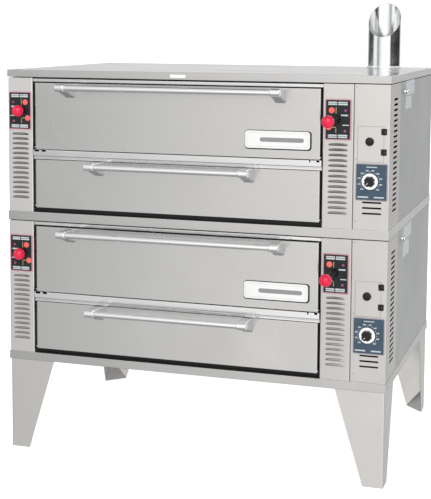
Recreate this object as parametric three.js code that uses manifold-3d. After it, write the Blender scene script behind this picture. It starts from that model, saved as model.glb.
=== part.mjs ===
// Double-deck gas pizza oven on a four-leg stand, in millimetres, +Z up.
// The oven is laid out from its front left floor corner: X to the right, Y from the front plane to the
// back, Z up. The exported group then shifts it so that the origin is the middle of its footprint.
import * as THREE from "three";
import { mergeVertices } from "three/addons/utils/BufferGeometryUtils.js";
import Module from "manifold-3d";

const wasm = await Module();
wasm.setup();

// ---------------------------------------------------------------- driving dimensions
const WIDTH = 1657; // outside of the cover and bands
const DEPTH = 1150; // front plane of the columns to the back edge of the cover
const LEG_HEIGHT = 395;
const BASE_BAND = 35.5; // height of the base frame's band
const DECK_HEIGHT = 579; // height of one deck's body
const MIDDLE_BAND = 38.5;
const TOP_BAND = 31;
const SHEET = 2; // body sheet
const GAP = 0.3; // between pieces that touch
const BAND_PROUD = 3; // how far bands and cover stand out past the deck bodies

const COLUMN_LEFT_END = 118; // right edge of the left column
const DOOR_LEFT = 128;
const DOOR_RIGHT = 1376;
const COLUMN_RIGHT_START = 1385;
const CONTROL_LEFT = 1509.5; // left edge of the control cover
const MIRROR_X = DOOR_LEFT + DOOR_RIGHT; // x and MIRROR_X - x are mirrored about the doors' middle

const BODY_LEFT = BAND_PROUD;
const BODY_RIGHT = WIDTH - BAND_PROUD;
const BODY_BACK = DEPTH - BAND_PROUD + 0.5;

// Heights above the bottom of a deck's body.
const DOOR_THICK = 38;
const BURNER_DOOR = [20, 227];
const SILL = [231, 270];
const BAKING_DOOR = [272, 555];
const HEADER = [559, 578];
const HINGE_Y = 4; // both doors turn about a line near their front bottom edge
const HINGE_RISE = 8; // that line's height above a door's bottom edge
const PIN_RADIUS = 4;

const FRAME_Y = 40; // front of the oven chamber's frame, behind the doors
const CHAMBER_X = [142, 1362]; // inside of the chamber, a 48 inch deck
const CHAMBER_BACK = 959.5;
const CHAMBER_TOP = 513.5;
const CHAMBER_WALL = 2.5;
const HEARTH = [285.8, 311]; // bottom and top of the baking hearth

const HANDLE_OUT = 97; // handle axis in front of the door
const HANDLE_RADIUS = 12.5;
const SOCKET_RADIUS = 16;
const BRACKET_WIDTH = 47;
const BAKING_HANDLE = { left: 270, height: 540 };
const BURNER_HANDLE = { left: 399, height: 214 };

const DAMPER_X = 66; // left damper's rod; the right one mirrors it
const DAMPER_HEIGHT = 436;
const DAMPER_STROKE = 115;
const BALL_RADIUS = 25;
const BALL_IN_Y = -36; // centre of the ball when it is pushed in
const SLEEVE_RADIUS = 16;

const DIAL = { x: 1577, height: 194 };
const LATCH = { x: 1573.5, height: 351 };
const ACCESS_DOOR = { left: 1526, right: 1629.5, bottom: 270, top: 411 };
const ACCESS_HINGE = { x: 1630, y: -4 };
const ACCESS_HINGE_HEIGHTS = [310.5, 391];

const FLUE = { x: 1448, y: 1005, radius: 76.5, top: 303, low: 142 };
const GAS_PIPE = { x: 1590, y: 900, radius: 14, inletHeight: 610, end: 1178 };
const BURNER_HEIGHT = 110;

const DECKS = [
  { name: "lower", bottom: LEG_HEIGHT + BASE_BAND },
  { name: "upper", bottom: LEG_HEIGHT + BASE_BAND + DECK_HEIGHT + MIDDLE_BAND },
];
const MIDDLE_BAND_BOTTOM = DECKS[0].bottom + DECK_HEIGHT;
const COVER_BOTTOM = DECKS[1].bottom + DECK_HEIGHT;
const COVER_TOP = COVER_BOTTOM + TOP_BAND;
const SIDE_PULL_REACH = 18; // the pull on each right side panel

// ---------------------------------------------------------------- materials
function material(color, roughness, metalness) {
  return new THREE.MeshStandardMaterial({ color, roughness, metalness });
}
const stainless = () => material(0xbfc2c2, 0.38, 0.9);
const polished = () => material(0xd8dadb, 0.18, 1.0);
const galvanised = () => material(0x8f9496, 0.55, 0.8);
const blackPlastic = () => material(0x141414, 0.45, 0.0);
const redPlastic = () => material(0xc8123c, 0.15, 0.0);
const plateBlack = () => material(0x262629, 0.5, 0.1);
const dialBlue = () => material(0x4b5c6c, 0.45, 0.1);
const whiteEnamel = () => material(0xeeeeea, 0.3, 0.0);
const hearthStone = () => material(0xb8aa93, 0.9, 0.0);
const castIron = () => material(0x37383a, 0.7, 0.6);

// ---------------------------------------------------------------- solids
// A closed three.js geometry as a solid that can be joined and cut.
function solid(geometry) {
  const bare = geometry.clone();
  bare.deleteAttribute("normal");
  bare.deleteAttribute("uv");
  const merged = mergeVertices(bare, 1e-4);
  return new wasm.Manifold(
    new wasm.Mesh({
      numProp: 3,
      vertProperties: merged.attributes.position.array,
      triVerts: new Uint32Array(merged.index.array),
    }),
  );
}

function geometryOf(body) {
  const mesh = body.getMesh();
  const geometry = new THREE.BufferGeometry();
  geometry.setAttribute("position", new THREE.BufferAttribute(mesh.vertProperties, mesh.numProp));
  geometry.setIndex(new THREE.BufferAttribute(mesh.triVerts, 1));
  const faceted = geometry.toNonIndexed();
  faceted.computeVertexNormals();
  return faceted;
}

function join(...bodies) {
  return bodies.flat().reduce((whole, body) => whole.add(body));
}

function cut(body, ...tools) {
  return tools.flat().reduce((rest, tool) => rest.subtract(tool), body);
}

// A box from ranges along X, Y and Z.
function block([x0, x1], [y0, y1], [z0, z1]) {
  const geometry = new THREE.BoxGeometry(x1 - x0, y1 - y0, z1 - z0);
  geometry.translate((x0 + x1) / 2, (y0 + y1) / 2, (z0 + z1) / 2);
  return solid(geometry);
}

const AXES = {
  X: [new THREE.Vector3(0, 1, 0), new THREE.Vector3(0, 0, 1), new THREE.Vector3(1, 0, 0)],
  Y: [new THREE.Vector3(0, 0, 1), new THREE.Vector3(1, 0, 0), new THREE.Vector3(0, 1, 0)],
  Z: [new THREE.Vector3(1, 0, 0), new THREE.Vector3(0, 1, 0), new THREE.Vector3(0, 0, 1)],
};

// An outline extruded along an axis. Its points are (y, z) for X, (z, x) for Y and (x, y) for Z.
function prism(axis, outline, [from, to], curveSegments = 6) {
  const shape = outline instanceof THREE.Shape ? outline : new THREE.Shape(outline);
  const geometry = new THREE.ExtrudeGeometry(shape, {
    depth: to - from,
    bevelEnabled: false,
    curveSegments,
  });
  geometry.translate(0, 0, from);
  geometry.applyMatrix4(new THREE.Matrix4().makeBasis(...AXES[axis]));
  return solid(geometry);
}

function points(...pairs) {
  return pairs.map(([u, v]) => new THREE.Vector2(u, v));
}

function rectangleWithRoundCorners([u0, u1], [v0, v1], radius) {
  const shape = new THREE.Shape();
  shape.moveTo(u0 + radius, v0);
  shape.lineTo(u1 - radius, v0);
  shape.absarc(u1 - radius, v0 + radius, radius, -Math.PI / 2, 0);
  shape.lineTo(u1, v1 - radius);
  shape.absarc(u1 - radius, v1 - radius, radius, 0, Math.PI / 2);
  shape.lineTo(u0 + radius, v1);
  shape.absarc(u0 + radius, v1 - radius, radius, Math.PI / 2, Math.PI);
  shape.lineTo(u0, v0 + radius);
  shape.absarc(u0 + radius, v0 + radius, radius, Math.PI, Math.PI * 1.5);
  return shape;
}

// A round bar along an axis; centre holds the two other coordinates in X, Y, Z order.
function bar(axis, centre, radius, [from, to], sides = 12) {
  const geometry = new THREE.CylinderGeometry(radius, radius, to - from, sides);
  geometry.translate(0, (from + to) / 2, 0);
  if (axis === "X") geometry.rotateZ(-Math.PI / 2).translate(0, centre[0], centre[1]);
  if (axis === "Y") geometry.translate(centre[0], 0, centre[1]);
  if (axis === "Z") geometry.rotateX(Math.PI / 2).translate(centre[0], centre[1], 0);
  return solid(geometry);
}

function mirrored([x0, x1]) {
  return [MIRROR_X - x1, MIRROR_X - x0];
}

const oven = new THREE.Group();

function place(parent, name, body, finish) {
  const mesh = new THREE.Mesh(geometryOf(body), finish);
  mesh.name = name;
  parent.add(mesh);
}

// ---------------------------------------------------------------- stand: base frame and legs
const OUTSIDE_X = [0, WIDTH];
const OUTSIDE_Y = [-BAND_PROUD, DEPTH];
const BASE_LIP = 118; // width of the flange that the legs bolt to

function inset([low, high], distance) {
  return [low + distance, high - distance];
}

function baseFrame() {
  const bottom = LEG_HEIGHT;
  const top = LEG_HEIGHT + BASE_BAND;
  return cut(
    block(OUTSIDE_X, OUTSIDE_Y, [bottom, top]),
    block(inset(OUTSIDE_X, SHEET), inset(OUTSIDE_Y, SHEET), [bottom + SHEET, top - SHEET]),
    block(inset(OUTSIDE_X, BASE_LIP), inset(OUTSIDE_Y, BASE_LIP), [bottom - 1, bottom + SHEET + 1]),
  );
}

const LEG_SHEET = 3;
const LEG_FOOT = 84; // width of each face of a leg at the floor
const LEG_HEAD = 204; // and at the top
const LEG_INSET = 5; // from the outside of the band
const LEG_BRACE = 98; // height of the sloping brace plate in the corner
const FOOT_HOLE = 7;

// A leg folded from two tapered faces, with a head plate, a sloping brace plate and a foot plate.
// towardX and towardY are +1 or -1: the way its faces run from the outside corner.
function leg(cornerX, cornerY, towardX, towardY) {
  const top = LEG_HEIGHT - GAP;
  const x = (distance) => cornerX + towardX * distance;
  const y = (distance) => cornerY + towardY * distance;
  const span = (place1, place2) => [Math.min(place1, place2), Math.max(place1, place2)];
  const faceAlongX = prism(
    "Y",
    points([0, x(0)], [0, x(LEG_FOOT)], [top, x(LEG_HEAD)], [top, x(0)]),
    span(y(0), y(LEG_SHEET)),
  );
  const faceAlongY = prism(
    "X",
    points([y(0), 0], [y(LEG_FOOT), 0], [y(LEG_HEAD), top], [y(0), top]),
    span(x(0), x(LEG_SHEET)),
  );
  const corner = points([x(1), y(1)], [x(LEG_FOOT), y(1)], [x(1), y(LEG_FOOT)]);
  const footPlate = prism("Z", corner, [0, LEG_SHEET]);
  const headCorner = points([x(1), y(1)], [x(LEG_HEAD - 4), y(1)], [x(1), y(LEG_HEAD - 4)]);
  const headPlate = prism("Z", headCorner, [top - LEG_SHEET, top]);
  const hole = bar("Z", [x(LEG_FOOT * 0.3), y(LEG_FOOT * 0.3)], FOOT_HOLE, [-1, LEG_SHEET + 1], 12);
  return cut(join(faceAlongX, faceAlongY, footPlate, headPlate, brace(x, y)), hole);
}

// The sloping brace: a thin plate from the foot's diagonal up to the corner, made as the difference
// between two tetrahedra that share the corner.
function brace(x, y) {
  const outer = cornerPyramid(x, y, LEG_FOOT - 1, LEG_BRACE);
  const inner = cornerPyramid(x, y, LEG_FOOT - 6, LEG_BRACE - 6);
  return cut(outer, inner);
}

function cornerPyramid(x, y, reach, height) {
  const low = 1;
  const corners = [
    [x(1), y(1), low],
    [x(reach), y(1), low],
    [x(1), y(reach), low],
    [x(1), y(1), height],
  ];
  const faces = [[0, 2, 1], [0, 1, 3], [0, 3, 2], [1, 2, 3]];
  const turned = Math.sign((x(1) - x(0)) * (y(1) - y(0))) < 0;
  const order = faces.flatMap((face) => (turned ? [...face].reverse() : face));
  const geometry = new THREE.BufferGeometry();
  geometry.setAttribute("position", new THREE.Float32BufferAttribute(corners.flat(), 3));
  geometry.setIndex(order);
  return solid(geometry);
}

function addStand(parent) {
  place(parent, "base_frame", baseFrame(), stainless());
  const [left, right] = inset(OUTSIDE_X, LEG_INSET);
  const [front, back] = inset(OUTSIDE_Y, LEG_INSET);
  place(parent, "front_left_leg", leg(left, front, 1, 1), stainless());
  place(parent, "front_right_leg", leg(right, front, -1, 1), stainless());
  place(parent, "rear_left_leg", leg(left, back, 1, -1), stainless());
  place(parent, "rear_right_leg", leg(right, back, -1, -1), stainless());
}

// ---------------------------------------------------------------- middle band, cover, flue, gas pipe
function trayDown([bottom, top]) {
  return cut(
    block(OUTSIDE_X, OUTSIDE_Y, [bottom, top]),
    block(inset(OUTSIDE_X, SHEET), inset(OUTSIDE_Y, SHEET), [bottom - 1, top - SHEET]),
  );
}

function middleBand() {
  const heights = [MIDDLE_BAND_BOTTOM, DECKS[1].bottom];
  const pipeHole = bar("Z", [GAS_PIPE.x, GAS_PIPE.y], GAS_PIPE.radius + 6, [heights[0], heights[1] + 1]);
  return cut(trayDown(heights), pipeHole);
}

function topCover() {
  const flueHole = bar("Z", [FLUE.x, FLUE.y], FLUE.radius + 3.5, [COVER_BOTTOM, COVER_TOP + 1], 20);
  return cut(trayDown([COVER_BOTTOM, COVER_TOP]), flueHole);
}

// A tube with its mouth cut at a slope: low at the front, high at the back.
function flueStack() {
  const tube = cut(
    bar("Z", [FLUE.x, FLUE.y], FLUE.radius, [COVER_TOP - 18, COVER_TOP + FLUE.top], 28),
    bar("Z", [FLUE.x, FLUE.y], FLUE.radius - SHEET, [COVER_TOP - 20, COVER_TOP + FLUE.top + 2], 28),
  );
  const front = FLUE.y - FLUE.radius;
  const back = FLUE.y + FLUE.radius;
  const lift = 2;
  const above = points(
    [front - lift, COVER_TOP + FLUE.low - lift],
    [back + lift, COVER_TOP + FLUE.top + lift],
    [back + lift, COVER_TOP + FLUE.top * 2],
    [front - lift, COVER_TOP + FLUE.top * 2],
  );
  return cut(tube, prism("X", above, [FLUE.x - FLUE.radius * 2, FLUE.x + FLUE.radius * 2]));
}

function flueCollar() {
  const inside = FLUE.radius + 1.5;
  const outside = FLUE.radius + 8;
  const low = COVER_TOP + GAP;
  const profile = points(
    [inside, 0],
    [outside, 0],
    [outside, 5],
    [outside - 4, 9],
    [inside, 9],
    [inside, 0],
  );
  const geometry = new THREE.LatheGeometry(profile, 24);
  geometry.rotateX(Math.PI / 2).translate(FLUE.x, FLUE.y, low);
  return solid(geometry);
}

function gasManifold() {
  const { x, y, radius, inletHeight, end } = GAS_PIPE;
  const branchEnd = CHAMBER_X[1] + 19;
  const levels = DECKS.map((deck) => deck.bottom + BURNER_HEIGHT);
  const riser = bar("Z", [x, y], radius, [levels[0] - 30, levels[1] + 30]);
  const branches = levels.map((level) => bar("X", [y, level], radius, [branchEnd, x]));
  const inlet = bar("Y", [x, inletHeight], radius, [y, end]);
  const union = bar("Y", [x, inletHeight], radius + 9, [BODY_BACK + 8, end - 8], 6);
  return join(riser, branches, inlet, union);
}

// ---------------------------------------------------------------- one deck's body
const LOUVRE_COUNT = 14;
const LOUVRE_PITCH = 21;
const LOUVRE_FIRST = 64; // height of the lowest louvre
const LOUVRE_HALF = 41.5;
const LEFT_LOUVRE_X = 60.5;
const RIGHT_LOUVRE_X = 1447.5;
const COLUMN_RETURN = 34; // depth of a column's folded edges
const PLATE_HALF = 54;
const PLATE_HEIGHTS = [352, 517];

// A pressed louvre: a hood that leans out of the sheet and is open underneath.
function louvreHood(x, z) {
  const outer = prism(
    "X",
    points([0.3, z + 9], [-6.5, z - 3.5], [0.3, z - 3.5]),
    [x - LOUVRE_HALF, x + LOUVRE_HALF],
  );
  const inner = prism(
    "X",
    points([1, z + 6.5], [-5.2, z - 5], [1, z - 5]),
    [x - LOUVRE_HALF + 1.3, x + LOUVRE_HALF - 1.3],
  );
  return cut(outer, inner);
}

function louvreSlot(x, z) {
  return block([x - LOUVRE_HALF + 3, x + LOUVRE_HALF - 3], [-1, SHEET + 1], [z - 3.2, z + 4]);
}

function louvreHeights(bottom) {
  return Array.from({ length: LOUVRE_COUNT }, (_, i) => bottom + LOUVRE_FIRST + i * LOUVRE_PITCH);
}

function column(range, returns, louvreX, damperX, bottom) {
  const heights = [bottom + GAP, bottom + DECK_HEIGHT - GAP];
  const face = block(range, [0, SHEET], heights);
  const edges = returns.map((edge) => block(edge, [SHEET / 2, COLUMN_RETURN], heights));
  const levels = louvreHeights(bottom);
  const rodHole = bar("Y", [damperX, bottom + DAMPER_HEIGHT], SLEEVE_RADIUS + 2, [-1, SHEET + 1]);
  const slotted = cut(join(face, edges), rodHole, levels.map((z) => louvreSlot(louvreX, z)));
  return join(slotted, levels.map((z) => louvreHood(louvreX, z)));
}

function leftColumn(bottom) {
  const range = [BODY_LEFT, COLUMN_LEFT_END];
  const returns = [[COLUMN_LEFT_END - SHEET, COLUMN_LEFT_END]];
  return column(range, returns, LEFT_LOUVRE_X, DAMPER_X, bottom);
}

function rightColumn(bottom) {
  const range = [COLUMN_RIGHT_START, CONTROL_LEFT - 1];
  const returns = [
    [range[0], range[0] + SHEET],
    [range[1] - SHEET, range[1]],
  ];
  return column(range, returns, RIGHT_LOUVRE_X, MIRROR_X - DAMPER_X, bottom);
}

function leftSidePanel(bottom) {
  return block([BODY_LEFT, BODY_LEFT + SHEET], [SHEET + GAP, BODY_BACK], deckHeights(bottom));
}

function deckHeights(bottom) {
  return [bottom + GAP, bottom + DECK_HEIGHT - GAP];
}

const SIDE_SEAM_Y = 236; // joint between the control cover and the right side panel
const PULL = { y: 338, height: 534, radius: 13 };

// The right side panel carries a small turned pull near its top front corner.
function rightSidePanel(bottom) {
  const panel = block(
    [BODY_RIGHT - SHEET, BODY_RIGHT],
    [SIDE_SEAM_Y + 1, BODY_BACK],
    deckHeights(bottom),
  );
  const profile = points(
    [0, -1],
    [PULL.radius * 0.55, -1],
    [PULL.radius * 0.5, 6],
    [PULL.radius, 10],
    [PULL.radius, 14],
    [PULL.radius * 0.6, SIDE_PULL_REACH],
    [0, SIDE_PULL_REACH],
  );
  const pull = new THREE.LatheGeometry(profile, 12);
  pull.rotateZ(-Math.PI / 2).translate(BODY_RIGHT, PULL.y, bottom + PULL.height);
  return join(panel, solid(pull));
}

const BACK_VENTS = 6;

function backPanel(deck) {
  const panel = block(
    [BODY_LEFT + SHEET + GAP, BODY_RIGHT - SHEET - GAP],
    [BODY_BACK - SHEET - GAP, BODY_BACK - GAP],
    deckHeights(deck.bottom),
  );
  const vents = Array.from({ length: BACK_VENTS }, (_, i) =>
    block([1180, 1500], [BODY_BACK - 6, BODY_BACK + 2], ventHeights(deck.bottom + 380 + i * 24)),
  );
  if (deck.name === "upper") return cut(panel, vents);
  const pipeHole = bar(
    "Y",
    [GAS_PIPE.x, GAS_PIPE.inletHeight],
    GAS_PIPE.radius + 6,
    [BODY_BACK - 8, BODY_BACK + 2],
  );
  return cut(panel, vents, pipeHole);
}

function ventHeights(z) {
  return [z, z + 8];
}

const SIDE_SLOTS = 22;
const SIDE_SLOT_PITCH = 21.2;
const SIDE_SLOT_FIRST = 68;
const FRONT_SLOT_HEIGHTS = [66, 88, 110];
const LEAF = { near: 4, width: 11.5, height: 25, thick: 2 };

// The three parts of a small hinge's barrel: the outer two belong to the cover.
function barrelParts(z) {
  const third = LEAF.height / 3;
  const low = z - LEAF.height / 2;
  return {
    cover: [[low, low + third - GAP], [low + 2 * third + GAP, low + LEAF.height]],
    door: [[low + third, low + 2 * third]],
  };
}

function barrels(ranges) {
  return ranges.map((range) => bar("Z", [ACCESS_HINGE.x, ACCESS_HINGE.y], 3.4, range, 8));
}

// Leaves of the access door's hinges, with the barrel parts that belong to one side.
function hingeLeaves(bottom, side) {
  const outward = side === "door" ? -1 : 1;
  const reach = (near, far) => {
    const ends = [ACCESS_HINGE.x + outward * near, ACCESS_HINGE.x + outward * far];
    return [Math.min(...ends), Math.max(...ends)];
  };
  return ACCESS_HINGE_HEIGHTS.map((height) => {
    const z = bottom + height;
    const parts = barrelParts(z)[side];
    const leafZ = [z - LEAF.height / 2, z + LEAF.height / 2];
    const leaf = block(reach(LEAF.near, LEAF.width), [-LEAF.thick, SHEET / 4], leafZ);
    const webs = parts.map((range) => block(reach(0, LEAF.near + 1), [ACCESS_HINGE.y + 1, -0.8], range));
    return join(leaf, webs, barrels(parts));
  });
}

// Sheet cover of the control compartment: a front face and a slotted side face.
function controlCover(bottom) {
  const heights = deckHeights(bottom);
  const front = block([CONTROL_LEFT, BODY_RIGHT], [0, SHEET], heights);
  const side = block([BODY_RIGHT - SHEET, BODY_RIGHT], [SHEET / 2, SIDE_SEAM_Y], heights);
  const edge = block([CONTROL_LEFT, CONTROL_LEFT + SHEET], [SHEET / 2, COLUMN_RETURN], heights);
  const opening = block(
    [ACCESS_DOOR.left - 1, ACCESS_HINGE.x + 0.2],
    [-1, SHEET + 1],
    [bottom + ACCESS_DOOR.bottom - 1, bottom + ACCESS_DOOR.top + 1],
  );
  const shaftHole = bar("Y", [DIAL.x, bottom + DIAL.height], 8, [-1, SHEET + 1]);
  const frontSlots = FRONT_SLOT_HEIGHTS.map((height) =>
    block([1547, 1624], [-1, SHEET + 1], [bottom + height - 3.5, bottom + height + 3.5]),
  );
  const sideSlots = Array.from({ length: SIDE_SLOTS }, (_, i) => {
    const z = bottom + SIDE_SLOT_FIRST + i * SIDE_SLOT_PITCH;
    return block([BODY_RIGHT - SHEET - 1, BODY_RIGHT + 1], [82, 174], [z - 4.5, z + 4.5]);
  });
  const sheet = cut(join(front, side, edge), opening, shaftHole, frontSlots, sideSlots);
  return join(sheet, hingeLeaves(bottom, "cover"));
}

// ---------------------------------------------------------------- chamber, hearth, burner
const FRAME_X = [COLUMN_LEFT_END + 1, COLUMN_RIGHT_START - 1];
const LUG_X = [121.5, 125.5];
const PIN_HOLE = PIN_RADIUS + 0.6;
const PORT_Y = [300, 400];
const PORT_HALF = 40;

// A lug with a hole for a door's hinge pin.
function hingeLug(xRange, yRange, zRange, axisZ) {
  const hole = bar("X", [HINGE_Y, axisZ], PIN_HOLE, [xRange[0] - 1, xRange[1] + 1]);
  return cut(block(xRange, yRange, zRange), hole);
}

function bothSides(make, range) {
  return [make(range), make(mirrored(range))];
}

function ovenChamber(bottom) {
  const z = (height) => bottom + height;
  const outerX = [CHAMBER_X[0] - CHAMBER_WALL, CHAMBER_X[1] + CHAMBER_WALL];
  const shell = cut(
    block(outerX, [FRAME_Y + 1, CHAMBER_BACK + CHAMBER_WALL], [z(1), z(CHAMBER_TOP + CHAMBER_WALL)]),
    block(CHAMBER_X, [FRAME_Y, CHAMBER_BACK], [z(1 + CHAMBER_WALL), z(CHAMBER_TOP)]),
  );
  const frame = cut(
    block(FRAME_X, [FRAME_Y, FRAME_Y + CHAMBER_WALL], [z(1), z(HEADER[1])]),
    block(CHAMBER_X, [FRAME_Y - 1, FRAME_Y + 4], [z(1 + CHAMBER_WALL), z(SILL[0] + 1)]),
    block(CHAMBER_X, [FRAME_Y - 1, FRAME_Y + 4], [z(HEARTH[0]), z(CHAMBER_TOP)]),
  );
  const header = block(FRAME_X, [14, FRAME_Y + 1], [z(HEADER[0]), z(HEADER[1])]);
  const ledgeHeights = [z(HEARTH[0] - CHAMBER_WALL - GAP), z(HEARTH[0] - GAP)];
  const ledges = bothSides(
    (range) => block(range, [FRAME_Y + 1, CHAMBER_BACK + 1], ledgeHeights),
    [CHAMBER_X[0] - 1, CHAMBER_X[0] + 25],
  );
  const backLedge = block(CHAMBER_X, [CHAMBER_BACK - 25, CHAMBER_BACK + 1], ledgeHeights);
  const axisZ = z(BURNER_DOOR[0] + HINGE_RISE);
  const lugs = bothSides(
    (range) => hingeLug(range, [-2, FRAME_Y + 1], [axisZ - 10, axisZ + 10], axisZ),
    LUG_X,
  );
  const portZ = [z(DAMPER_HEIGHT - PORT_HALF), z(DAMPER_HEIGHT + PORT_HALF)];
  const ports = bothSides((range) => block(range, PORT_Y, portZ), [outerX[0] - 1, CHAMBER_X[0] + 1]);
  const gasHole = bar(
    "X",
    [GAS_PIPE.y, z(BURNER_HEIGHT)],
    GAS_PIPE.radius + 6,
    [CHAMBER_X[1] - 1, outerX[1] + 1],
  );
  return cut(join(shell, frame, header, ledges, backLedge, lugs), ports, gasHole);
}

function hearthDeck(bottom) {
  return block(
    inset(CHAMBER_X, 0.6),
    [FRAME_Y + 4, CHAMBER_BACK - 1],
    [bottom + HEARTH[0], bottom + HEARTH[1]],
  );
}

const BURNER_TUBES_X = [300, 600, 900, 1200];
const BURNER_STRIPS_Y = [200, 760];

// Four burner tubes on a cross pipe, carried by two upright strips on the compartment's floor.
function burner(bottom) {
  const z = bottom + BURNER_HEIGHT;
  const cross = bar("X", [GAS_PIPE.y, z], GAS_PIPE.radius, [BURNER_TUBES_X[0] - 60, CHAMBER_X[1] + 18]);
  const tubes = BURNER_TUBES_X.map((x) => bar("Y", [x, z], 19, [110, GAS_PIPE.y], 8));
  const strips = BURNER_STRIPS_Y.map((y) =>
    block([280, 1220], [y - 1.5, y + 1.5], [bottom + 1 + CHAMBER_WALL + GAP, z - 12]),
  );
  return join(cross, tubes, strips);
}

// Rail across the front between the two doors: a rolled nose over a groove and a small drip lip,
// notched near both ends, with a lug at each end for the baking door's hinge pin.
const NOTCHES = [[128, 150], [162, 181]];

function sillRail(bottom) {
  const z = (height) => bottom + height;
  const [low, high] = SILL;
  const section = new THREE.Shape();
  section.moveTo(FRAME_Y - 0.5, z(low));
  section.lineTo(FRAME_Y - 0.5, z(high - 8));
  section.lineTo(12, z(high));
  section.lineTo(2, z(high));
  section.quadraticCurveTo(-6, z(high - 2), -6, z(high - 12));
  section.lineTo(-6, z(high - 20));
  section.quadraticCurveTo(-6, z(high - 28), 2, z(high - 29));
  section.lineTo(9, z(high - 29));
  section.lineTo(9, z(high - 32));
  section.lineTo(1, z(high - 33));
  section.lineTo(1, z(low));
  section.closePath();
  const rail = prism("X", section, [LUG_X[0], MIRROR_X - LUG_X[0]], 3);
  const notches = NOTCHES.flatMap((range) =>
    bothSides((side) => block(side, [-10, 10], [z(high - 8), z(high + 1)]), range),
  );
  const axisZ = z(BAKING_DOOR[0] + HINGE_RISE);
  const lugs = bothSides(
    (range) => hingeLug(range, [-3, 16], [z(high - 9), axisZ + 10], axisZ),
    LUG_X,
  );
  return join(cut(rail, notches), lugs);
}

// ---------------------------------------------------------------- doors and handles
const DOOR_SKIN = 2;
const DOOR_ROUND = 6;

// A hollow door: folded sheet with round upright front edges, hinge pins at its bottom corners and a
// vent slot in its bottom edge.
function door(bottom, [low, high]) {
  const outline = new THREE.Shape();
  outline.moveTo(DOOR_LEFT, DOOR_THICK);
  outline.lineTo(DOOR_LEFT, DOOR_ROUND);
  outline.absarc(DOOR_LEFT + DOOR_ROUND, DOOR_ROUND, DOOR_ROUND, Math.PI, Math.PI * 1.5);
  outline.lineTo(DOOR_RIGHT - DOOR_ROUND, 0);
  outline.absarc(DOOR_RIGHT - DOOR_ROUND, DOOR_ROUND, DOOR_ROUND, -Math.PI / 2, 0);
  outline.lineTo(DOOR_RIGHT, DOOR_THICK);
  outline.closePath();
  const outer = prism("Z", outline, [bottom + low, bottom + high], 4);
  const hollow = block(
    [DOOR_LEFT + 4, DOOR_RIGHT - 4],
    [DOOR_SKIN, DOOR_THICK - DOOR_SKIN],
    [bottom + low + 14, bottom + high - DOOR_SKIN],
  );
  const vent = block([702, 802], [14, 24], [bottom + low - 1, bottom + low + 15]);
  const axisZ = bottom + low + HINGE_RISE;
  const pins = bothSides(
    (range) => bar("X", [HINGE_Y, axisZ], PIN_RADIUS - 0.4, range, 12),
    [LUG_X[0] + 0.5, DOOR_LEFT + 8],
  );
  return join(cut(outer, hollow, vent), pins);
}

// A bar handle: two wedge-shaped castings with round sockets that carry a round bar.
function handle(bottom, { left, height }) {
  const z = bottom + height;
  const y = -HANDLE_OUT;
  const wedge = points(
    [-GAP, z - 45],
    [-GAP, z + 13],
    [y, z + SOCKET_RADIUS - 1],
    [y - 4, z - SOCKET_RADIUS + 1],
  );
  const ends = bothSides(
    (range) => join(prism("X", wedge, range), bar("X", [y, z], SOCKET_RADIUS, range, 14)),
    [left, left + BRACKET_WIDTH],
  );
  const rail = bar("X", [y, z], HANDLE_RADIUS, [left + 20, MIRROR_X - left - 20]);
  return join(ends, rail);
}

const BADGE = { x: [1064, 1340], height: [306, 384], thick: 8, round: 13 };

function nameplate(bottom) {
  const heights = BADGE.height.map((height) => bottom + height);
  const outline = rectangleWithRoundCorners(heights, BADGE.x, BADGE.round);
  return prism("Y", outline, [-BADGE.thick - GAP, -GAP], 3);
}

// ---------------------------------------------------------------- dampers
function damperPlate(bottom, centreX, rodX) {
  const heights = PLATE_HEIGHTS.map((height) => bottom + height);
  const outline = rectangleWithRoundCorners(heights, [centreX - PLATE_HALF, centreX + PLATE_HALF], 7);
  const plate = prism("Y", outline, [-1.8, -GAP], 3);
  return cut(plate, bar("Y", [rodX, bottom + DAMPER_HEIGHT], SLEEVE_RADIUS + 2, [-3, 1]));
}

const BALL_FLAT = 18; // distance from the ball's centre to the flat that meets the sleeve
const BLADE = { y: [290, 420], half: 50, thick: 2.5 };

// A ball knob with a flat at the back.
function damperKnob(bottom, x, pulled) {
  const y = BALL_IN_Y - pulled;
  const ball = new THREE.SphereGeometry(BALL_RADIUS, 16, 8);
  ball.translate(x, y, bottom + DAMPER_HEIGHT);
  const behind = block([x - 40, x + 40], [y + BALL_FLAT, y + 40], deckHeights(bottom));
  return cut(solid(ball), behind);
}

// The damper's sleeve and rod, with an arm to the blade that slides over a port in the chamber's side.
function damperRod(bottom, x, bladeX, pulled) {
  const z = bottom + DAMPER_HEIGHT;
  const sleeveStart = BALL_IN_Y + BALL_FLAT + GAP - pulled;
  const sleeve = bar("Y", [x, z], SLEEVE_RADIUS, [sleeveStart, 150 - pulled], 12);
  const rod = bar("Y", [x, z], 6, [140 - pulled, 366 - pulled], 8);
  const blade = block(
    bladeX,
    BLADE.y.map((y) => y - pulled),
    [z - BLADE.half, z + BLADE.half],
  );
  const armX = [Math.min(x - 6, bladeX[0]), Math.max(x + 6, bladeX[1])];
  const arm = block(armX, [354 - pulled, 368 - pulled], [z - 7, z + 7]);
  return join(sleeve, rod, arm, blade);
}

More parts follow.
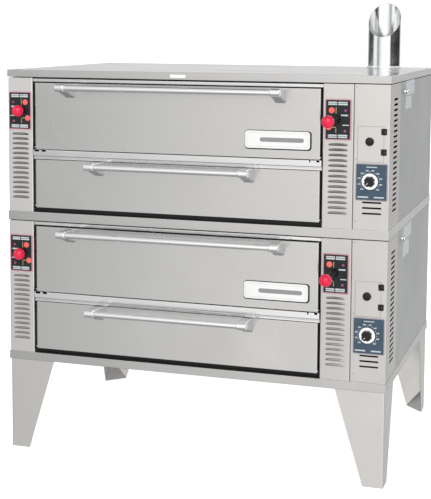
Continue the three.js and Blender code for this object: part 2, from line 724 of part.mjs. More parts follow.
function addDampers(parent, deck) {
  const { name, bottom } = deck;
  const bladeGap = 3;
  const bladeX = [CHAMBER_X[0] - CHAMBER_WALL - bladeGap - BLADE.thick, CHAMBER_X[0] - CHAMBER_WALL - bladeGap];
  const sides = [
    { side: "left", x: DAMPER_X, plateX: 59, bladeX, pulled: 0 },
    { side: "right", x: MIRROR_X - DAMPER_X, plateX: 1446, bladeX: mirrored(bladeX), pulled: DAMPER_STROKE },
  ];
  for (const { side, x, plateX, bladeX: blade, pulled } of sides) {
    place(parent, `${name}_${side}_damper_plate`, damperPlate(bottom, plateX, x), plateBlack());
    place(parent, `${name}_${side}_damper_rod`, damperRod(bottom, x, blade, pulled), blackPlastic());
    place(parent, `${name}_${side}_damper_knob`, damperKnob(bottom, x, pulled), redPlastic());
  }
}

// ---------------------------------------------------------------- controls
const THERMOSTAT_PLATE = { x: [1519.5, 1647.5], height: [117, 265], thick: 2 };
const SKIRT_RADIUS = 32;
const KNOB_RADIUS = 21;
const FLUTES = 8;

function thermostatPlate(bottom) {
  const heights = THERMOSTAT_PLATE.height.map((height) => bottom + height);
  const outline = rectangleWithRoundCorners(heights, THERMOSTAT_PLATE.x, 4);
  const plate = prism("Y", outline, [-THERMOSTAT_PLATE.thick - GAP, -GAP], 3);
  return cut(plate, bar("Y", [DIAL.x, bottom + DIAL.height], 8, [-4, 1]));
}

// A round skirt, a fluted grip and a shaft.
function thermostatKnob(bottom) {
  const z = bottom + DIAL.height;
  const front = -THERMOSTAT_PLATE.thick - 2 * GAP;
  const skirt = bar("Y", [DIAL.x, z], SKIRT_RADIUS, [front - 4, front], 20);
  const grip = bar("Y", [DIAL.x, z], KNOB_RADIUS, [front - 26, front - 2], 16);
  const flutes = Array.from({ length: FLUTES }, (_, i) => {
    const angle = (i * 2 * Math.PI) / FLUTES;
    const fluteX = DIAL.x + (KNOB_RADIUS + 2.5) * Math.cos(angle);
    const fluteZ = z + (KNOB_RADIUS + 2.5) * Math.sin(angle);
    return bar("Y", [fluteX, fluteZ], 5, [front - 30, front - 5], 6);
  });
  const shaft = bar("Y", [DIAL.x, z], 5, [front - 1, 30], 12);
  return join(cut(grip, flutes), skirt, shaft);
}

function accessDoor(bottom) {
  const leaf = block(
    [ACCESS_DOOR.left, ACCESS_DOOR.right],
    [0, SHEET],
    [bottom + ACCESS_DOOR.bottom, bottom + ACCESS_DOOR.top],
  );
  const hole = bar("Y", [LATCH.x, bottom + LATCH.height], 6.5, [-1, SHEET + 1]);
  return join(cut(leaf, hole), hingeLeaves(bottom, "door"));
}

// A quarter-turn knob with a finger bar, a short spindle and a cam behind the door.
function accessLatch(bottom) {
  const z = bottom + LATCH.height;
  const dome = points([0, 0], [17, 0], [17, 4], [13, 9], [6, 10.5], [0, 10.5]);
  const knob = new THREE.LatheGeometry(dome, 16);
  knob.rotateX(Math.PI).translate(LATCH.x, -GAP, z);
  const grip = block([LATCH.x - 13, LATCH.x + 13], [-15, -8], [z - 3, z + 3]);
  const spindle = bar("Y", [LATCH.x, z], 5.5, [-2, 12], 12);
  const cam = block([LATCH.x - 24, LATCH.x + 7], [SHEET + 3, SHEET + 6], [z - 7, z + 7]);
  return join(solid(knob), grip, spindle, cam);
}

// ---------------------------------------------------------------- assembly
function addDeck(parent, deck) {
  const { name, bottom } = deck;
  const add = (piece, body, finish) => place(parent, `${name}_${piece}`, body, finish);
  add("left_side_panel", leftSidePanel(bottom), stainless());
  add("right_side_panel", rightSidePanel(bottom), stainless());
  add("back_panel", backPanel(deck), galvanised());
  add("left_column", leftColumn(bottom), stainless());
  add("right_column", rightColumn(bottom), stainless());
  add("control_cover", controlCover(bottom), stainless());
  add("oven_chamber", ovenChamber(bottom), galvanised());
  add("hearth_deck", hearthDeck(bottom), hearthStone());
  add("burner", burner(bottom), castIron());
  add("sill_rail", sillRail(bottom), polished());
  add("baking_door", door(bottom, BAKING_DOOR), stainless());
  add("baking_door_handle", handle(bottom, BAKING_HANDLE), polished());
  add("burner_door", door(bottom, BURNER_DOOR), stainless());
  add("burner_door_handle", handle(bottom, BURNER_HANDLE), polished());
  add("nameplate", nameplate(bottom), whiteEnamel());
  addDampers(parent, deck);
  add("thermostat_plate", thermostatPlate(bottom), dialBlue());
  add("thermostat_knob", thermostatKnob(bottom), blackPlastic());
  add("access_door", accessDoor(bottom), stainless());
  add("access_latch", accessLatch(bottom), blackPlastic());
}

addStand(oven);
for (const deck of DECKS) addDeck(oven, deck);
place(oven, "middle_band", middleBand(), stainless());
place(oven, "top_cover", topCover(), stainless());
place(oven, "flue_stack", flueStack(), polished());
place(oven, "flue_collar", flueCollar(), polished());
place(oven, "gas_manifold", gasManifold(), castIron());

// The footprint runs from the left band to the side panel pulls, and from the front of the pulled-out
// damper balls to the end of the gas inlet.
const FRONT_REACH = BALL_IN_Y - DAMPER_STROKE - BALL_RADIUS;
oven.position.set(-(BODY_RIGHT + SIDE_PULL_REACH) / 2, -(FRONT_REACH + GAS_PIPE.end) / 2, 0);

export default oven;
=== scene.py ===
"""Looks of a double-deck gas pizza oven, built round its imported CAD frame.

Shapes are drawn in millimetres: X from the left edge of the bands, Y from the front plane of the columns,
and Z up from the floor, or from the deck's bottom for a deck's pieces. piece() turns them into the frame's
metres.
"""

import math

import bmesh
import bpy
from mathutils import Matrix, Vector
from mathutils.geometry import delaunay_2d_cdt


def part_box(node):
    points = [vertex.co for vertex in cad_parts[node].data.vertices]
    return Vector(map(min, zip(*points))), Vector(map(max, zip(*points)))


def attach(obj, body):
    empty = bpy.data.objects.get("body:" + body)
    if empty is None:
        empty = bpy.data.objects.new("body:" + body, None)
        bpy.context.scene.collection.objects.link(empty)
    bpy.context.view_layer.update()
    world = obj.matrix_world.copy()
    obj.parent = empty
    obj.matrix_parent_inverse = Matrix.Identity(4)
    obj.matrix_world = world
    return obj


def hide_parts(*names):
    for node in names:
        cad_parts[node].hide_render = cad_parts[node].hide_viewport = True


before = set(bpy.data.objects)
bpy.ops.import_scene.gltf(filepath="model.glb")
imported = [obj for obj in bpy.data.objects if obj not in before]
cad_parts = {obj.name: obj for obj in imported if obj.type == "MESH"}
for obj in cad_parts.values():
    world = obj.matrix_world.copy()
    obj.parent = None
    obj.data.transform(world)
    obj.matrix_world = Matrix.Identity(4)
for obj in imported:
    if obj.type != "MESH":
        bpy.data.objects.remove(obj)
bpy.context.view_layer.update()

# ---------------------------------------------------------------- layout
MM = 0.001
BAND_PROUD = 3  # how far the bands stand out in front of the columns
BASE_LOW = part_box("base_frame")[0]
LAYOUT_TO_FRAME = Matrix.Translation((BASE_LOW.x, BASE_LOW.y + BAND_PROUD * MM, 0)) @ Matrix.Scale(MM, 4)
FRAME_TO_LAYOUT = LAYOUT_TO_FRAME.inverted()


def span_of(node, axis):
    """Lowest and highest layout coordinate of a CAD node along an axis, 0, 1 or 2."""
    return tuple((FRAME_TO_LAYOUT @ corner)[axis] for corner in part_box(node))


OVEN = "oven_body"
WIDTH = span_of("base_frame", 0)[1]
BACK = span_of("base_frame", 1)[1]
OUTSIDE_X = (0, WIDTH)
OUTSIDE_Y = (-BAND_PROUD, BACK)
BASE_Z = span_of("base_frame", 2)
MIDDLE_Z = span_of("middle_band", 2)
COVER_Z = span_of("top_cover", 2)
BODY_LEFT, BODY_RIGHT = BAND_PROUD, WIDTH - BAND_PROUD
BODY_BACK = BACK - 2.5
GAP = 0.3
SHEET = 2  # thickness of the body's sheet metal
BEND = 3.2  # outer radius of a fold in it

DECKS = {"lower": BASE_Z[1], "upper": MIDDLE_Z[1]}
DECK_HEIGHT = 579
JOINT = 3.2  # dark joint between a deck's panels and the band over them
PANEL_Z = (GAP, DECK_HEIGHT - JOINT)
DOOR_LEFT, DOOR_RIGHT = 128, 1376
MIRROR_X = DOOR_LEFT + DOOR_RIGHT
DOOR_THICK = 38
BURNER_DOOR = (20, 227)
SILL = (231, 270)
BAKING_DOOR = (272, 555)
HINGE_Y, HINGE_RISE = 4, 8


def mirrored(span):
    """The span on the other side of the doors' middle."""
    return (MIRROR_X - span[1], MIRROR_X - span[0])


def grown(span, amount):
    """The span made longer at both ends, or shorter if the amount is negative."""
    return (span[0] - amount, span[1] + amount)


# ---------------------------------------------------------------- outlines
def softened(corners, radius=0.0, steps=4, closed=True):
    """An outline with round corners. A corner is (u, v), or (u, v, its own radius)."""
    outline = []
    for i, corner in enumerate(corners):
        here = Vector(corner[:2])
        own_radius = corner[2] if len(corner) > 2 else radius
        if own_radius == 0 or (not closed and i in (0, len(corners) - 1)):
            outline.append((here.x, here.y))
            continue
        before = Vector(corners[i - 1][:2]) - here
        after = Vector(corners[(i + 1) % len(corners)][:2]) - here
        half = before.angle(after) / 2
        reach = min(own_radius / math.tan(half), before.length * 0.499, after.length * 0.499)
        bisector = (before.normalized() + after.normalized()).normalized()
        centre = here + bisector * (reach / math.cos(half))
        start = here + before.normalized() * reach - centre
        end = here + after.normalized() * reach - centre
        turn = math.atan2(start.cross(end), start.dot(end))
        for step in range(steps + 1):
            spoke = Matrix.Rotation(turn * step / steps, 2) @ start
            outline.append((centre.x + spoke.x, centre.y + spoke.y))
    return outline


def rectangle(u, v, radius=0.0, steps=4):
    return softened([(u[0], v[0]), (u[1], v[0]), (u[1], v[1]), (u[0], v[1])], radius, steps)


def polar(centre, radius, angle):
    return (centre[0] + radius * math.cos(angle), centre[1] + radius * math.sin(angle))


def circle(centre, radius, steps=32):
    return [polar(centre, radius, 2 * math.pi * i / steps) for i in range(steps)]


def turned(outline, centre, angle):
    """An outline drawn round 0, 0, turned by the angle and moved to the centre."""
    points = [Matrix.Rotation(angle, 2) @ Vector(point) for point in outline]
    return [(centre[0] + point.x, centre[1] + point.y) for point in points]


# ---------------------------------------------------------------- shapes
SHARP = math.radians(32)
WITHOUT_HOLES = 5  # the kind of flat mesh with its holes left open
# an outline's two axes, and its thickness
PLANES = {"front": (0, 2, 1), "side": (1, 2, 0), "top": (0, 1, 2)}


def in_plane(plane, u, v, w):
    point = Vector()
    for axis, value in zip(PLANES[plane], (u, v, w)):
        point[axis] = value
    return point


def rounded(shape, width, segments=2):
    """Rounds the shape's sharp edges."""
    if width > 0:
        sharp = [e for e in shape.edges if e.is_manifold and e.calc_face_angle() > SHARP]
        look = {"profile": 0.5, "affect": "EDGES", "clamp_overlap": True}
        bmesh.ops.bevel(shape, geom=sharp, offset=width, segments=segments, **look)
    return shape


def faced_out(shape):
    bmesh.ops.recalc_face_normals(shape, faces=shape.faces[:])
    return shape


def painted(shape, index):
    """Gives the shape's faces another of its piece's materials."""
    for face in shape.faces:
        face.material_index = index
    return shape


def plate(plane, outline, span, holes=(), edge=0.5, segments=2):
    """A flat solid with holes and rounded edges: an outline in a plane, thick over span."""
    loops = [outline, *holes]
    points = [point for loop in loops for point in loop]
    shape = bmesh.new()
    layers = [[shape.verts.new(in_plane(plane, u, v, w)) for u, v in points] for w in span]
    rims, start = [], 0
    for loop in loops:
        rims.append(list(range(start, start + len(loop))))
        start += len(loop)
    flat = delaunay_2d_cdt([Vector(point) for point in points], [], rims, WITHOUT_HOLES, 1e-6)
    for corners in flat[2]:
        for layer in layers:
            shape.faces.new([layer[flat[3][i][0]] for i in corners])
    for rim in rims:
        for a, b in zip(rim, rim[1:] + rim[:1]):
            shape.faces.new((layers[0][a], layers[0][b], layers[1][b], layers[1][a]))
    return rounded(faced_out(shape), edge, 1 if holes else segments)


def box(x, y, z, edge=0.6, segments=2):
    return plate("top", rectangle(x, y), z, edge=edge, segments=segments)


def on_axis(axis, centre, angle, radius, along):
    """The point at that angle and radius round an axis through centre."""
    u, v = radius * math.cos(angle), radius * math.sin(angle)
    offset = {"X": (along, u, v), "Y": (u, along, v), "Z": (u, v, along)}[axis]
    return Vector(centre) + Vector(offset)


def lathe(profile, axis, centre, steps=40, ring=False):
    """A profile of (radius, distance along the axis) turned round it. A ring's profile is closed."""
    shape = bmesh.new()
    rows = []
    for radius, along in profile:
        count = 1 if radius < 1e-6 else steps
        angles = [2 * math.pi * i / steps for i in range(count)]
        rows.append([shape.verts.new(on_axis(axis, centre, a, radius, along)) for a in angles])
    if ring:
        rows.append(rows[0])
    for low, high in zip(rows, rows[1:]):
        for i in range(steps):
            j = (i + 1) % steps
            corners = [low[i % len(low)], low[j % len(low)], high[j % len(high)], high[i % len(high)]]
            corners = list(dict.fromkeys(corners))
            if len(corners) > 2:
                shape.faces.new(corners)
    return faced_out(shape)


def knob(profile, axis, centre, steps, soft=0.8):
    """A solid turned from a profile whose corners are softened, all but its two ends on the axis."""
    return lathe(softened(profile, soft, 3, closed=False), axis, centre, steps)


def rod(axis, centre, radius, span, edge=1.0, steps=32):
    """A round bar with soft ends."""
    return knob([(0, span[0]), (radius, span[0]), (radius, span[1]), (0, span[1])], axis, centre, steps, edge)


def loft(sections):
    """A closed solid through rings of points that all have the same count."""
    shape = bmesh.new()
    rings = [[shape.verts.new(point) for point in section] for section in sections]
    for low, high in zip(rings, rings[1:]):
        for i in range(len(low)):
            j = (i + 1) % len(low)
            shape.faces.new((low[i], low[j], high[j], high[i]))
    shape.faces.new(rings[0])
    shape.faces.new(rings[-1])
    return faced_out(shape)


def merged(shapes):
    """One shape of them all."""
    whole = bmesh.new()
    for shape in shapes:
        mesh = bpy.data.meshes.new("part")
        shape.to_mesh(mesh)
        shape.free()
        whole.from_mesh(mesh)
        bpy.data.meshes.remove(mesh)
    return whole


def temporary(shape):
    mesh = bpy.data.meshes.new("temporary")
    shape.to_mesh(mesh)
    shape.free()
    item = bpy.data.objects.new("temporary", mesh)
    bpy.context.scene.collection.objects.link(item)
    return item


def as_shape(item):
    """A shape from an object as it looks with its modifiers."""
    graph = bpy.context.evaluated_depsgraph_get()
    mesh = bpy.data.meshes.new_from_object(item.evaluated_get(graph))
    shape = bmesh.new()
    shape.from_mesh(mesh)
    bpy.data.meshes.remove(mesh)
    return shape


def carved(shape, cutters):
    """The shape less the cutters, by an exact boolean."""
    body, tool = temporary(shape), temporary(merged(cutters))
    modifier = body.modifiers.new("cut", "BOOLEAN")
    modifier.operation = "DIFFERENCE"
    modifier.solver = "EXACT"
    modifier.object = tool
    result = as_shape(body)
    for item in (body, tool):
        used = item.data
        bpy.data.objects.remove(item)
        bpy.data.meshes.remove(used)
    return result


class Fold:
    """A folded sheet's section in plan: straight runs between corners, joined by round bends. The sheet's
    thickness lies to the left of the way it runs, or to the right when side is -1."""

    def __init__(self, corners, radius=BEND, side=1, steps=4):
        points = [Vector(corner) for corner in corners]
        headings = [(b - a).normalized() for a, b in zip(points, points[1:])]
        turns = [0.0]
        for before, after in zip(headings, headings[1:]):
            turns.append(math.atan2(before.cross(after), before.dot(after)))
        turns.append(0.0)
        tangents = [radius * math.tan(abs(turn) / 2) for turn in turns]
        self.side, self.radius = side, radius
        self.runs, self.bends, self.cuts, self.starts = [], [], [], []
        s = 0.0
        for i, heading in enumerate(headings):
            start = points[i] + heading * tangents[i]
            length = (points[i + 1] - points[i]).length - tangents[i] - tangents[i + 1]
            self.starts.append(s - tangents[i])
            self.runs.append((s, s + length, start, heading))
            s += length
            turn = turns[i + 1]
            if turn:
                arc = radius * abs(turn)
                self.bends.append((s, s + arc, start + heading * length, heading, turn))
                self.cuts += [s + arc * step / steps for step in range(steps + 1)]
                s += arc
        self.length = s

    def at(self, run, distance):
        """How far along the flat sheet a point is, from its distance to the run's first corner."""
        return self.starts[run] + distance

    def place(self, s, depth):
        for low, high, start, heading, turn in self.bends:
            if low < s < high:
                way = math.copysign(1, turn)
                toward = Vector((-heading.y, heading.x)) * way
                reach = self.radius - depth * self.side * way
                angle = way * (s - low) / self.radius
                return start + toward * self.radius - Matrix.Rotation(angle, 2) @ (toward * reach)
        low, _, start, heading = min(self.runs, key=lambda run: max(run[0] - s, s - run[1], 0))
        return start + heading * (s - low) + Vector((-heading.y, heading.x)) * (depth * self.side)


def bent(outline, fold, holes=(), thick=SHEET, edge=0.4):
    """A sheet cut flat, with s across and z up, and then folded."""
    shape = plate("front", outline, (0, thick), holes, edge)
    for cut in fold.cuts:
        everything = shape.verts[:] + shape.edges[:] + shape.faces[:]
        bmesh.ops.bisect_plane(shape, geom=everything, plane_co=(cut, 0, 0), plane_no=(1, 0, 0))
    for vert in shape.verts:
        place = fold.place(vert.co.x, vert.co.y)
        vert.co = (place.x, place.y, vert.co.z)
    return faced_out(shape)


def piece(name, shapes, looks, replaces=(), body=OVEN, bottom=0):
    """Makes one Blender object of the shapes, and has it ride on a CAD body."""
    shape = merged(shapes)
    shape.transform(LAYOUT_TO_FRAME @ Matrix.Translation((0, 0, bottom)))
    mesh = bpy.data.meshes.new(name)
    shape.to_mesh(mesh)
    shape.free()
    for look in looks.split():
        mesh.materials.append(M[look])
    mesh.polygons.foreach_set("use_smooth", [True] * len(mesh.polygons))
    mesh.set_sharp_from_angle(angle=SHARP)
    item = bpy.data.objects.new(name, mesh)
    bpy.context.scene.collection.objects.link(item)
    normals = item.modifiers.new("normals", "WEIGHTED_NORMAL")
    normals.keep_sharp = True
    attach(item, body)
    if replaces:
        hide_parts(*replaces)


# ---------------------------------------------------------------- materials
class Nodes:
    """Short ways to add nodes to a tree."""

    def __init__(self, tree):
        self.tree = tree

    def feed(self, value, socket):
        if isinstance(value, bpy.types.NodeSocket):
            self.tree.links.new(value, socket)
        else:
            socket.default_value = value

    def node(self, kind, settings=(), **inputs):
        node = self.tree.nodes.new("ShaderNode" + kind)
        for key, value in dict(settings).items():
            setattr(node, key, value)
        for socket, value in inputs.items():
            self.feed(value, node.inputs[socket.replace("_", " ")])
        return node

    def maths(self, operation, *values, kind="Math", output=0):
        node = self.node(kind, {"operation": operation})
        for value, socket in zip(values, node.inputs):
            self.feed(value, socket)
        return node.outputs[output]

    def scaled(self, value, low, high, to_low=0.0, to_high=1.0, settings=()):
        node = self.node("MapRange", settings, Value=value)
        for socket, number in zip(list(node.inputs)[1:5], (low, high, to_low, to_high)):
            socket.default_value = number
        return node.outputs[0]


class Surface(Nodes):
    """A Principled material."""

    def __init__(self, name, **plain):
        self.material = bpy.data.materials.new(name)
        self.material.use_nodes = True
        super().__init__(self.material.node_tree)
        self.shader = self.tree.nodes["Principled BSDF"]
        self.coordinates = self.node("TexCoord").outputs["Object"]
        for socket, value in plain.items():
            self.shader.inputs[socket.replace("_", " ")].default_value = value

    def stretched(self, stretch):
        stretch = stretch if isinstance(stretch, tuple) else (stretch,) * 3
        return self.maths("MULTIPLY", self.coordinates, stretch, kind="VectorMath")

    def noise(self, stretch, detail=3.0, roughness=0.55, distortion=0.0):
        """Noise whose grain is this many waves to the metre along X, Y and Z."""
        shape = {"Detail": detail, "Roughness": roughness, "Distortion": distortion}
        return self.node("TexNoise", Vector=self.stretched(stretch), Scale=1.0, **shape).outputs[0]

    def cells(self, stretch, output="Color"):
        return self.node("TexVoronoi", Vector=self.stretched(stretch), Scale=1.0).outputs[output]

    def mixed(self, factor, a, b):
        node = self.node("Mix", {"data_type": "RGBA"})
        self.feed(factor, node.inputs[0])
        for value, socket in ((a, node.inputs[6]), (b, node.inputs[7])):
            self.feed((*value, 1.0) if isinstance(value, tuple) else value, socket)
        return node.outputs[2]

    def over(self, tone, value, low, high, amount, colour):
        """The tone with as much of the colour laid over it as the value lies between low and high."""
        return self.mixed(self.scaled(value, low, high, 0.0, amount), tone, colour)

    def edges(self, radius=0.0015):
        """1 along the shape's edges, where it is rubbed, and 0 on its flats."""
        bevel = self.node("Bevel", {"samples": 4}, Radius=radius).outputs[0]
        normal = self.node("NewGeometry").outputs["Normal"]
        flatness = self.maths("DOT_PRODUCT", bevel, normal, kind="VectorMath", output="Value")
        return self.scaled(flatness, 0.995, 0.875)

    def bumps(self, *layers):
        """Layers of (height, depth in metres), one on the other."""
        normal = None
        for height, distance in layers:
            node = self.node("Bump", Strength=1.0, Distance=distance, Height=height)
            if normal is not None:
                self.feed(normal, node.inputs["Normal"])
            normal = node.outputs[0]
        self.feed(normal, self.shader.inputs["Normal"])

    def finish(self, colour, roughness):
        self.feed(colour, self.shader.inputs["Base Color"])
        self.feed(roughness, self.shader.inputs["Roughness"])
        return self.material


def tinted(colour, factor):
    return tuple(min(1.0, channel * factor) for channel in colour)


def brushed_steel(name, colour, stretch, roughness):
    """Number 4 finish: long fine scratches along the grain, broad soft smudges and rubbed edges."""
    surface = Surface(name, Metallic=1.0)
    fine = surface.noise(tuple(s * 12 for s in stretch), 2.0)
    streaks = surface.noise(stretch, 4.0, 0.6)
    smudges = surface.noise(3.1, 5.0, 0.6, 0.4)
    prints = surface.noise(11.0, 3.0, 0.7, 0.8)
    worn = surface.edges()
    tone = surface.mixed(streaks, tinted(colour, 0.978), tinted(colour, 1.022))
    tone = surface.over(tone, smudges, 0.35, 0.7, 0.5, tinted(colour, 0.93))
    tone = surface.over(tone, worn, 0.0, 1.0, 0.6, tinted(colour, 1.15))
    rough = surface.scaled(streaks, 0.3, 0.7, roughness - 0.015, roughness + 0.015)
    rough = surface.maths("ADD", rough, surface.scaled(smudges, 0.35, 0.7, -0.03, 0.06))
    rough = surface.maths("ADD", rough, surface.scaled(prints, 0.6, 0.75, 0.0, 0.06))
    rough = surface.maths("SUBTRACT", rough, surface.scaled(worn, 0.0, 1.0, 0.0, 0.1))
    surface.bumps((fine, 0.000002), (streaks, 0.000006))
    return surface.finish(tone, rough)


def polished_metal(name, colour, roughness, scratch=0.00002):
    """Bright bar and trim: nearly a mirror, with hairline scratches and faint smears."""
    surface = Surface(name, Metallic=1.0)
    hairlines = surface.noise((40, 700, 700), 2.0, 0.7)
    smears = surface.noise(14.0, 4.0, 0.6, 0.5)
    tone = surface.mixed(smears, tinted(colour, 0.94), tinted(colour, 1.04))
    tone = surface.over(tone, surface.edges(), 0.0, 1.0, 0.5, tinted(colour, 1.1))
    surface.bumps((hairlines, scratch))
    return surface.finish(tone, surface.scaled(smears, 0.3, 0.75, roughness, roughness + 0.1))


def cast_metal(name, colour, roughness, grain=0.0002, rust=None):
    """Cast or forged metal: a fine sandy skin, dull hollows and rubbed edges."""
    surface = Surface(name, Metallic=1.0)
    sand = surface.noise(900.0, 3.0, 0.7)
    lumps = surface.noise(90.0, 3.0)
    tone = surface.mixed(lumps, tinted(colour, 0.85), tinted(colour, 1.12))
    if rust:
        tone = surface.over(tone, surface.noise(24.0, 6.0, 0.7, 0.6), 0.55, 0.75, 0.7, rust)
    tone = surface.over(tone, surface.edges(0.002), 0.0, 1.0, 0.7, tinted(colour, 1.45))
    surface.bumps((lumps, 0.0003), (sand, grain))
    return surface.finish(tone, surface.scaled(sand, 0.3, 0.7, roughness - 0.06, roughness + 0.08))


def spangled_metal(name, colour, roughness, heat=None):
    """Dull coated steel sheet: faint crystals, cloudy stains and, near the fire, a straw heat tint."""
    surface = Surface(name, Metallic=1.0)
    grey = surface.node("RGBToBW", Color=surface.cells(90.0)).outputs[0]
    clouds = surface.noise(5.0, 6.0, 0.65, 0.5)
    tone = surface.mixed(grey, tinted(colour, 0.88), tinted(colour, 1.1))
    tone = surface.over(tone, clouds, 0.4, 0.75, 0.6, tinted(colour, 0.75))
    if heat:
        tone = surface.over(tone, clouds, 0.35, 0.65, 0.75, heat)
    tone = surface.over(tone, surface.edges(), 0.0, 1.0, 0.5, tinted(colour, 1.3))
    surface.bumps((clouds, 0.0004), (grey, 0.00003))
    return surface.finish(tone, surface.scaled(grey, 0.0, 1.0, roughness - 0.07, roughness + 0.09))


def plastic(name, colour, roughness, mottle=0.12, wear=None, coat=0.0, shine=0.5):
    """Moulded, painted or printed surface: slight mottling, fine grain and lighter rubbed edges."""
    surface = Surface(name, Metallic=0.0, Coat_Weight=coat, Coat_Roughness=0.08, Specular_IOR_Level=shine)
    clouds = surface.noise(45.0, 4.0, 0.6, 0.3)
    fine = surface.noise(1400.0, 2.0)
    scuffs = surface.noise((60, 500, 60), 3.0, 0.7)
    tone = surface.mixed(clouds, tinted(colour, 1 - mottle), tinted(colour, 1 + mottle))
    tone = surface.over(tone, surface.edges(0.001), 0.0, 1.0, 0.5, wear or tinted(colour, 1.5))
    rough = surface.scaled(scuffs, 0.3, 0.75, roughness - 0.04, roughness + 0.1)
    rough = surface.maths("ADD", rough, surface.scaled(clouds, 0.4, 0.7, 0.0, 0.06))
    surface.bumps((clouds, 0.00008), (fine, 0.00004))
    return surface.finish(tone, rough)


def baked_stone(name, colour, toasted, flour):
    """Ceramic hearth: speckled body, toasted patches, flour dust and open pores."""
    surface = Surface(name, Metallic=0.0)
    specks = surface.noise(700.0, 2.0, 0.8)
    patches = surface.noise(6.0, 6.0, 0.65, 0.7)
    pores = surface.cells(260.0, output="Distance")
    tone = surface.mixed(surface.scaled(specks, 0.35, 0.65), tinted(colour, 0.8), tinted(colour, 1.1))
    tone = surface.over(tone, patches, 0.48, 0.7, 0.85, toasted)
    tone = surface.over(tone, surface.noise(17.0, 5.0, 0.7, 0.4), 0.58, 0.8, 0.7, flour)
    surface.bumps((patches, 0.0006), (pores, 0.0003), (specks, 0.0002))
    return surface.finish(tone, surface.scaled(specks, 0.2, 0.8, 0.78, 0.95))


def matte(name, colour, glow):
    """Seamless paper: pale, dull and faintly fibrous, with a little light of its own."""
    surface = Surface(name, Emission_Color=(*colour, 1.0), Emission_Strength=glow)
    fibres = surface.noise(160.0, 4.0, 0.6)
    tone = surface.mixed(fibres, tinted(colour, 0.98), tinted(colour, 1.0))
    surface.bumps((fibres, 0.0001))
    return surface.finish(tone, surface.scaled(fibres, 0.3, 0.7, 0.8, 0.95))


DOOR_STEEL = (0.615, 0.615, 0.61)
PANEL_STEEL = (0.685, 0.675, 0.66)
ACROSS, ALONG_TOP, UPRIGHT = (1.5, 1.5, 260.0), (1.5, 260.0, 260.0), (260.0, 260.0, 1.5)  # the grain's run
M = {
    "door_steel": brushed_steel("brushed_door", DOOR_STEEL, ACROSS, 0.27),
    "front_steel": brushed_steel("brushed_front", tinted(PANEL_STEEL, 0.93), ACROSS, 0.42),
    # The left column's steel is a lighter copy of the front's panel steel: painted light on that column.
    "left_steel": brushed_steel("brushed_left_front_painted_light", tinted(PANEL_STEEL, 1.05), ACROSS, 0.42),
    # The louvre hoods get a much darker copy of the sheet they are pressed from: painted shade, for the
    # shadow under each hood.
    "pressed_steel": brushed_steel("pressed_louvre_painted_shade", (0.34, 0.335, 0.325), ACROSS, 0.36),
    # The side panels get a darker copy of the stainless: painted shade on the sides turned away from the
    # light.
    "side_steel": brushed_steel("brushed_side_painted_shade", (0.475, 0.485, 0.49), UPRIGHT, 0.38),
    "top_steel": brushed_steel("brushed_top", (0.54, 0.54, 0.565), ALONG_TOP, 0.2),
    "band_steel": brushed_steel("brushed_band", tinted(DOOR_STEEL, 0.96), ACROSS, 0.27),
    "base_steel": brushed_steel("brushed_base_band", tinted(DOOR_STEEL, 0.89), ACROSS, 0.27),
    "leg_steel": brushed_steel("brushed_leg", PANEL_STEEL, UPRIGHT, 0.42),
    "bright": polished_metal("bright_trim", (0.78, 0.785, 0.79), 0.14),
    "chrome": polished_metal("chrome_bar", (0.90, 0.905, 0.91), 0.03),
    "ferrule": polished_metal("ferrule", (0.92, 0.925, 0.93), 0.16),
    "rolled": polished_metal("rolled_flue_sheet", (0.80, 0.81, 0.815), 0.13, 0.00001),
    "satin_cast": cast_metal("satin_casting", (0.60, 0.61, 0.615), 0.32),
    "screw": cast_metal("plated_screw", (0.42, 0.42, 0.41), 0.34),
    "galvanised": spangled_metal("coated_sheet", (0.50, 0.515, 0.52), 0.5),
    "liner": spangled_metal("heated_liner", (0.42, 0.42, 0.40), 0.52, (0.30, 0.22, 0.13)),
    "iron": cast_metal("black_iron", (0.05, 0.05, 0.052), 0.6, 0.0004, (0.11, 0.055, 0.03)),
    "black": plastic("black_phenolic", (0.010, 0.010, 0.011), 0.3, wear=(0.06, 0.06, 0.06), shine=0.25),
    "red": plastic("crimson_phenolic", (0.58, 0.004, 0.045), 0.16, 0.15, (0.7, 0.04, 0.09), 0.25, shine=0.35),
    "plate_margin": plastic("plate_margin", (0.42, 0.22, 0.27), 0.34),
    "plate_dark": plastic("plate_print", (0.014, 0.018, 0.019), 0.4, 0.3, (0.12, 0.1, 0.1), shine=0.2),
    "coral": plastic("coral_print", (0.70, 0.11, 0.09), 0.4),
    "magenta": plastic("magenta_print", (0.30, 0.04, 0.16), 0.4),
    "pale": plastic("pale_print", (0.42, 0.45, 0.47), 0.4, 0.2),
    "ochre": plastic("ochre_print", (0.42, 0.30, 0.14), 0.4),
    "blue": plastic("slate_blue_print", (0.042, 0.068, 0.100), 0.36, 0.16, (0.3, 0.34, 0.38), shine=0.2),
    "dial_margin": plastic("dial_plate_margin", (0.26, 0.22, 0.25), 0.34),
    "white": plastic("white_enamel", (0.80, 0.80, 0.80), 0.22, 0.04, (0.6, 0.6, 0.6), 0.4),
    "badge": plastic("badge_enamel", (0.62, 0.62, 0.62), 0.3, 0.05, (0.7, 0.7, 0.7), 0.3),
    "mark": plastic("badge_grey", (0.20, 0.20, 0.21), 0.35, 0.15),
    "label": plastic("blank_label", (0.40, 0.43, 0.45), 0.45, 0.08),
    "stone": baked_stone("ceramic_hearth", (0.55, 0.48, 0.38), (0.25, 0.16, 0.09), (0.86, 0.82, 0.74)),
}


# ---------------------------------------------------------------- small hardware
def screw(plane, centre, face, outward, radius=4.4, index=1):
    """A pan-head screw on a face, with a cross recess. outward is +1 or -1 along the plane's thickness."""
    low = face - outward * 0.4
    reach, half = radius * 0.55, radius * 0.14
    recess = []
    for turn in range(4):
        recess += turned([(reach, -half), (reach, half), (half, half)], centre, turn * math.pi / 2)
    head = plate(plane, circle(centre, radius, 20), sorted((low, face + outward * 2.2)), [recess], edge=0.7)
    seat = plate(plane, circle(centre, radius * 0.7, 12), sorted((low, face + outward * 0.8)), edge=0)
    return [painted(head, index), painted(seat, index)]


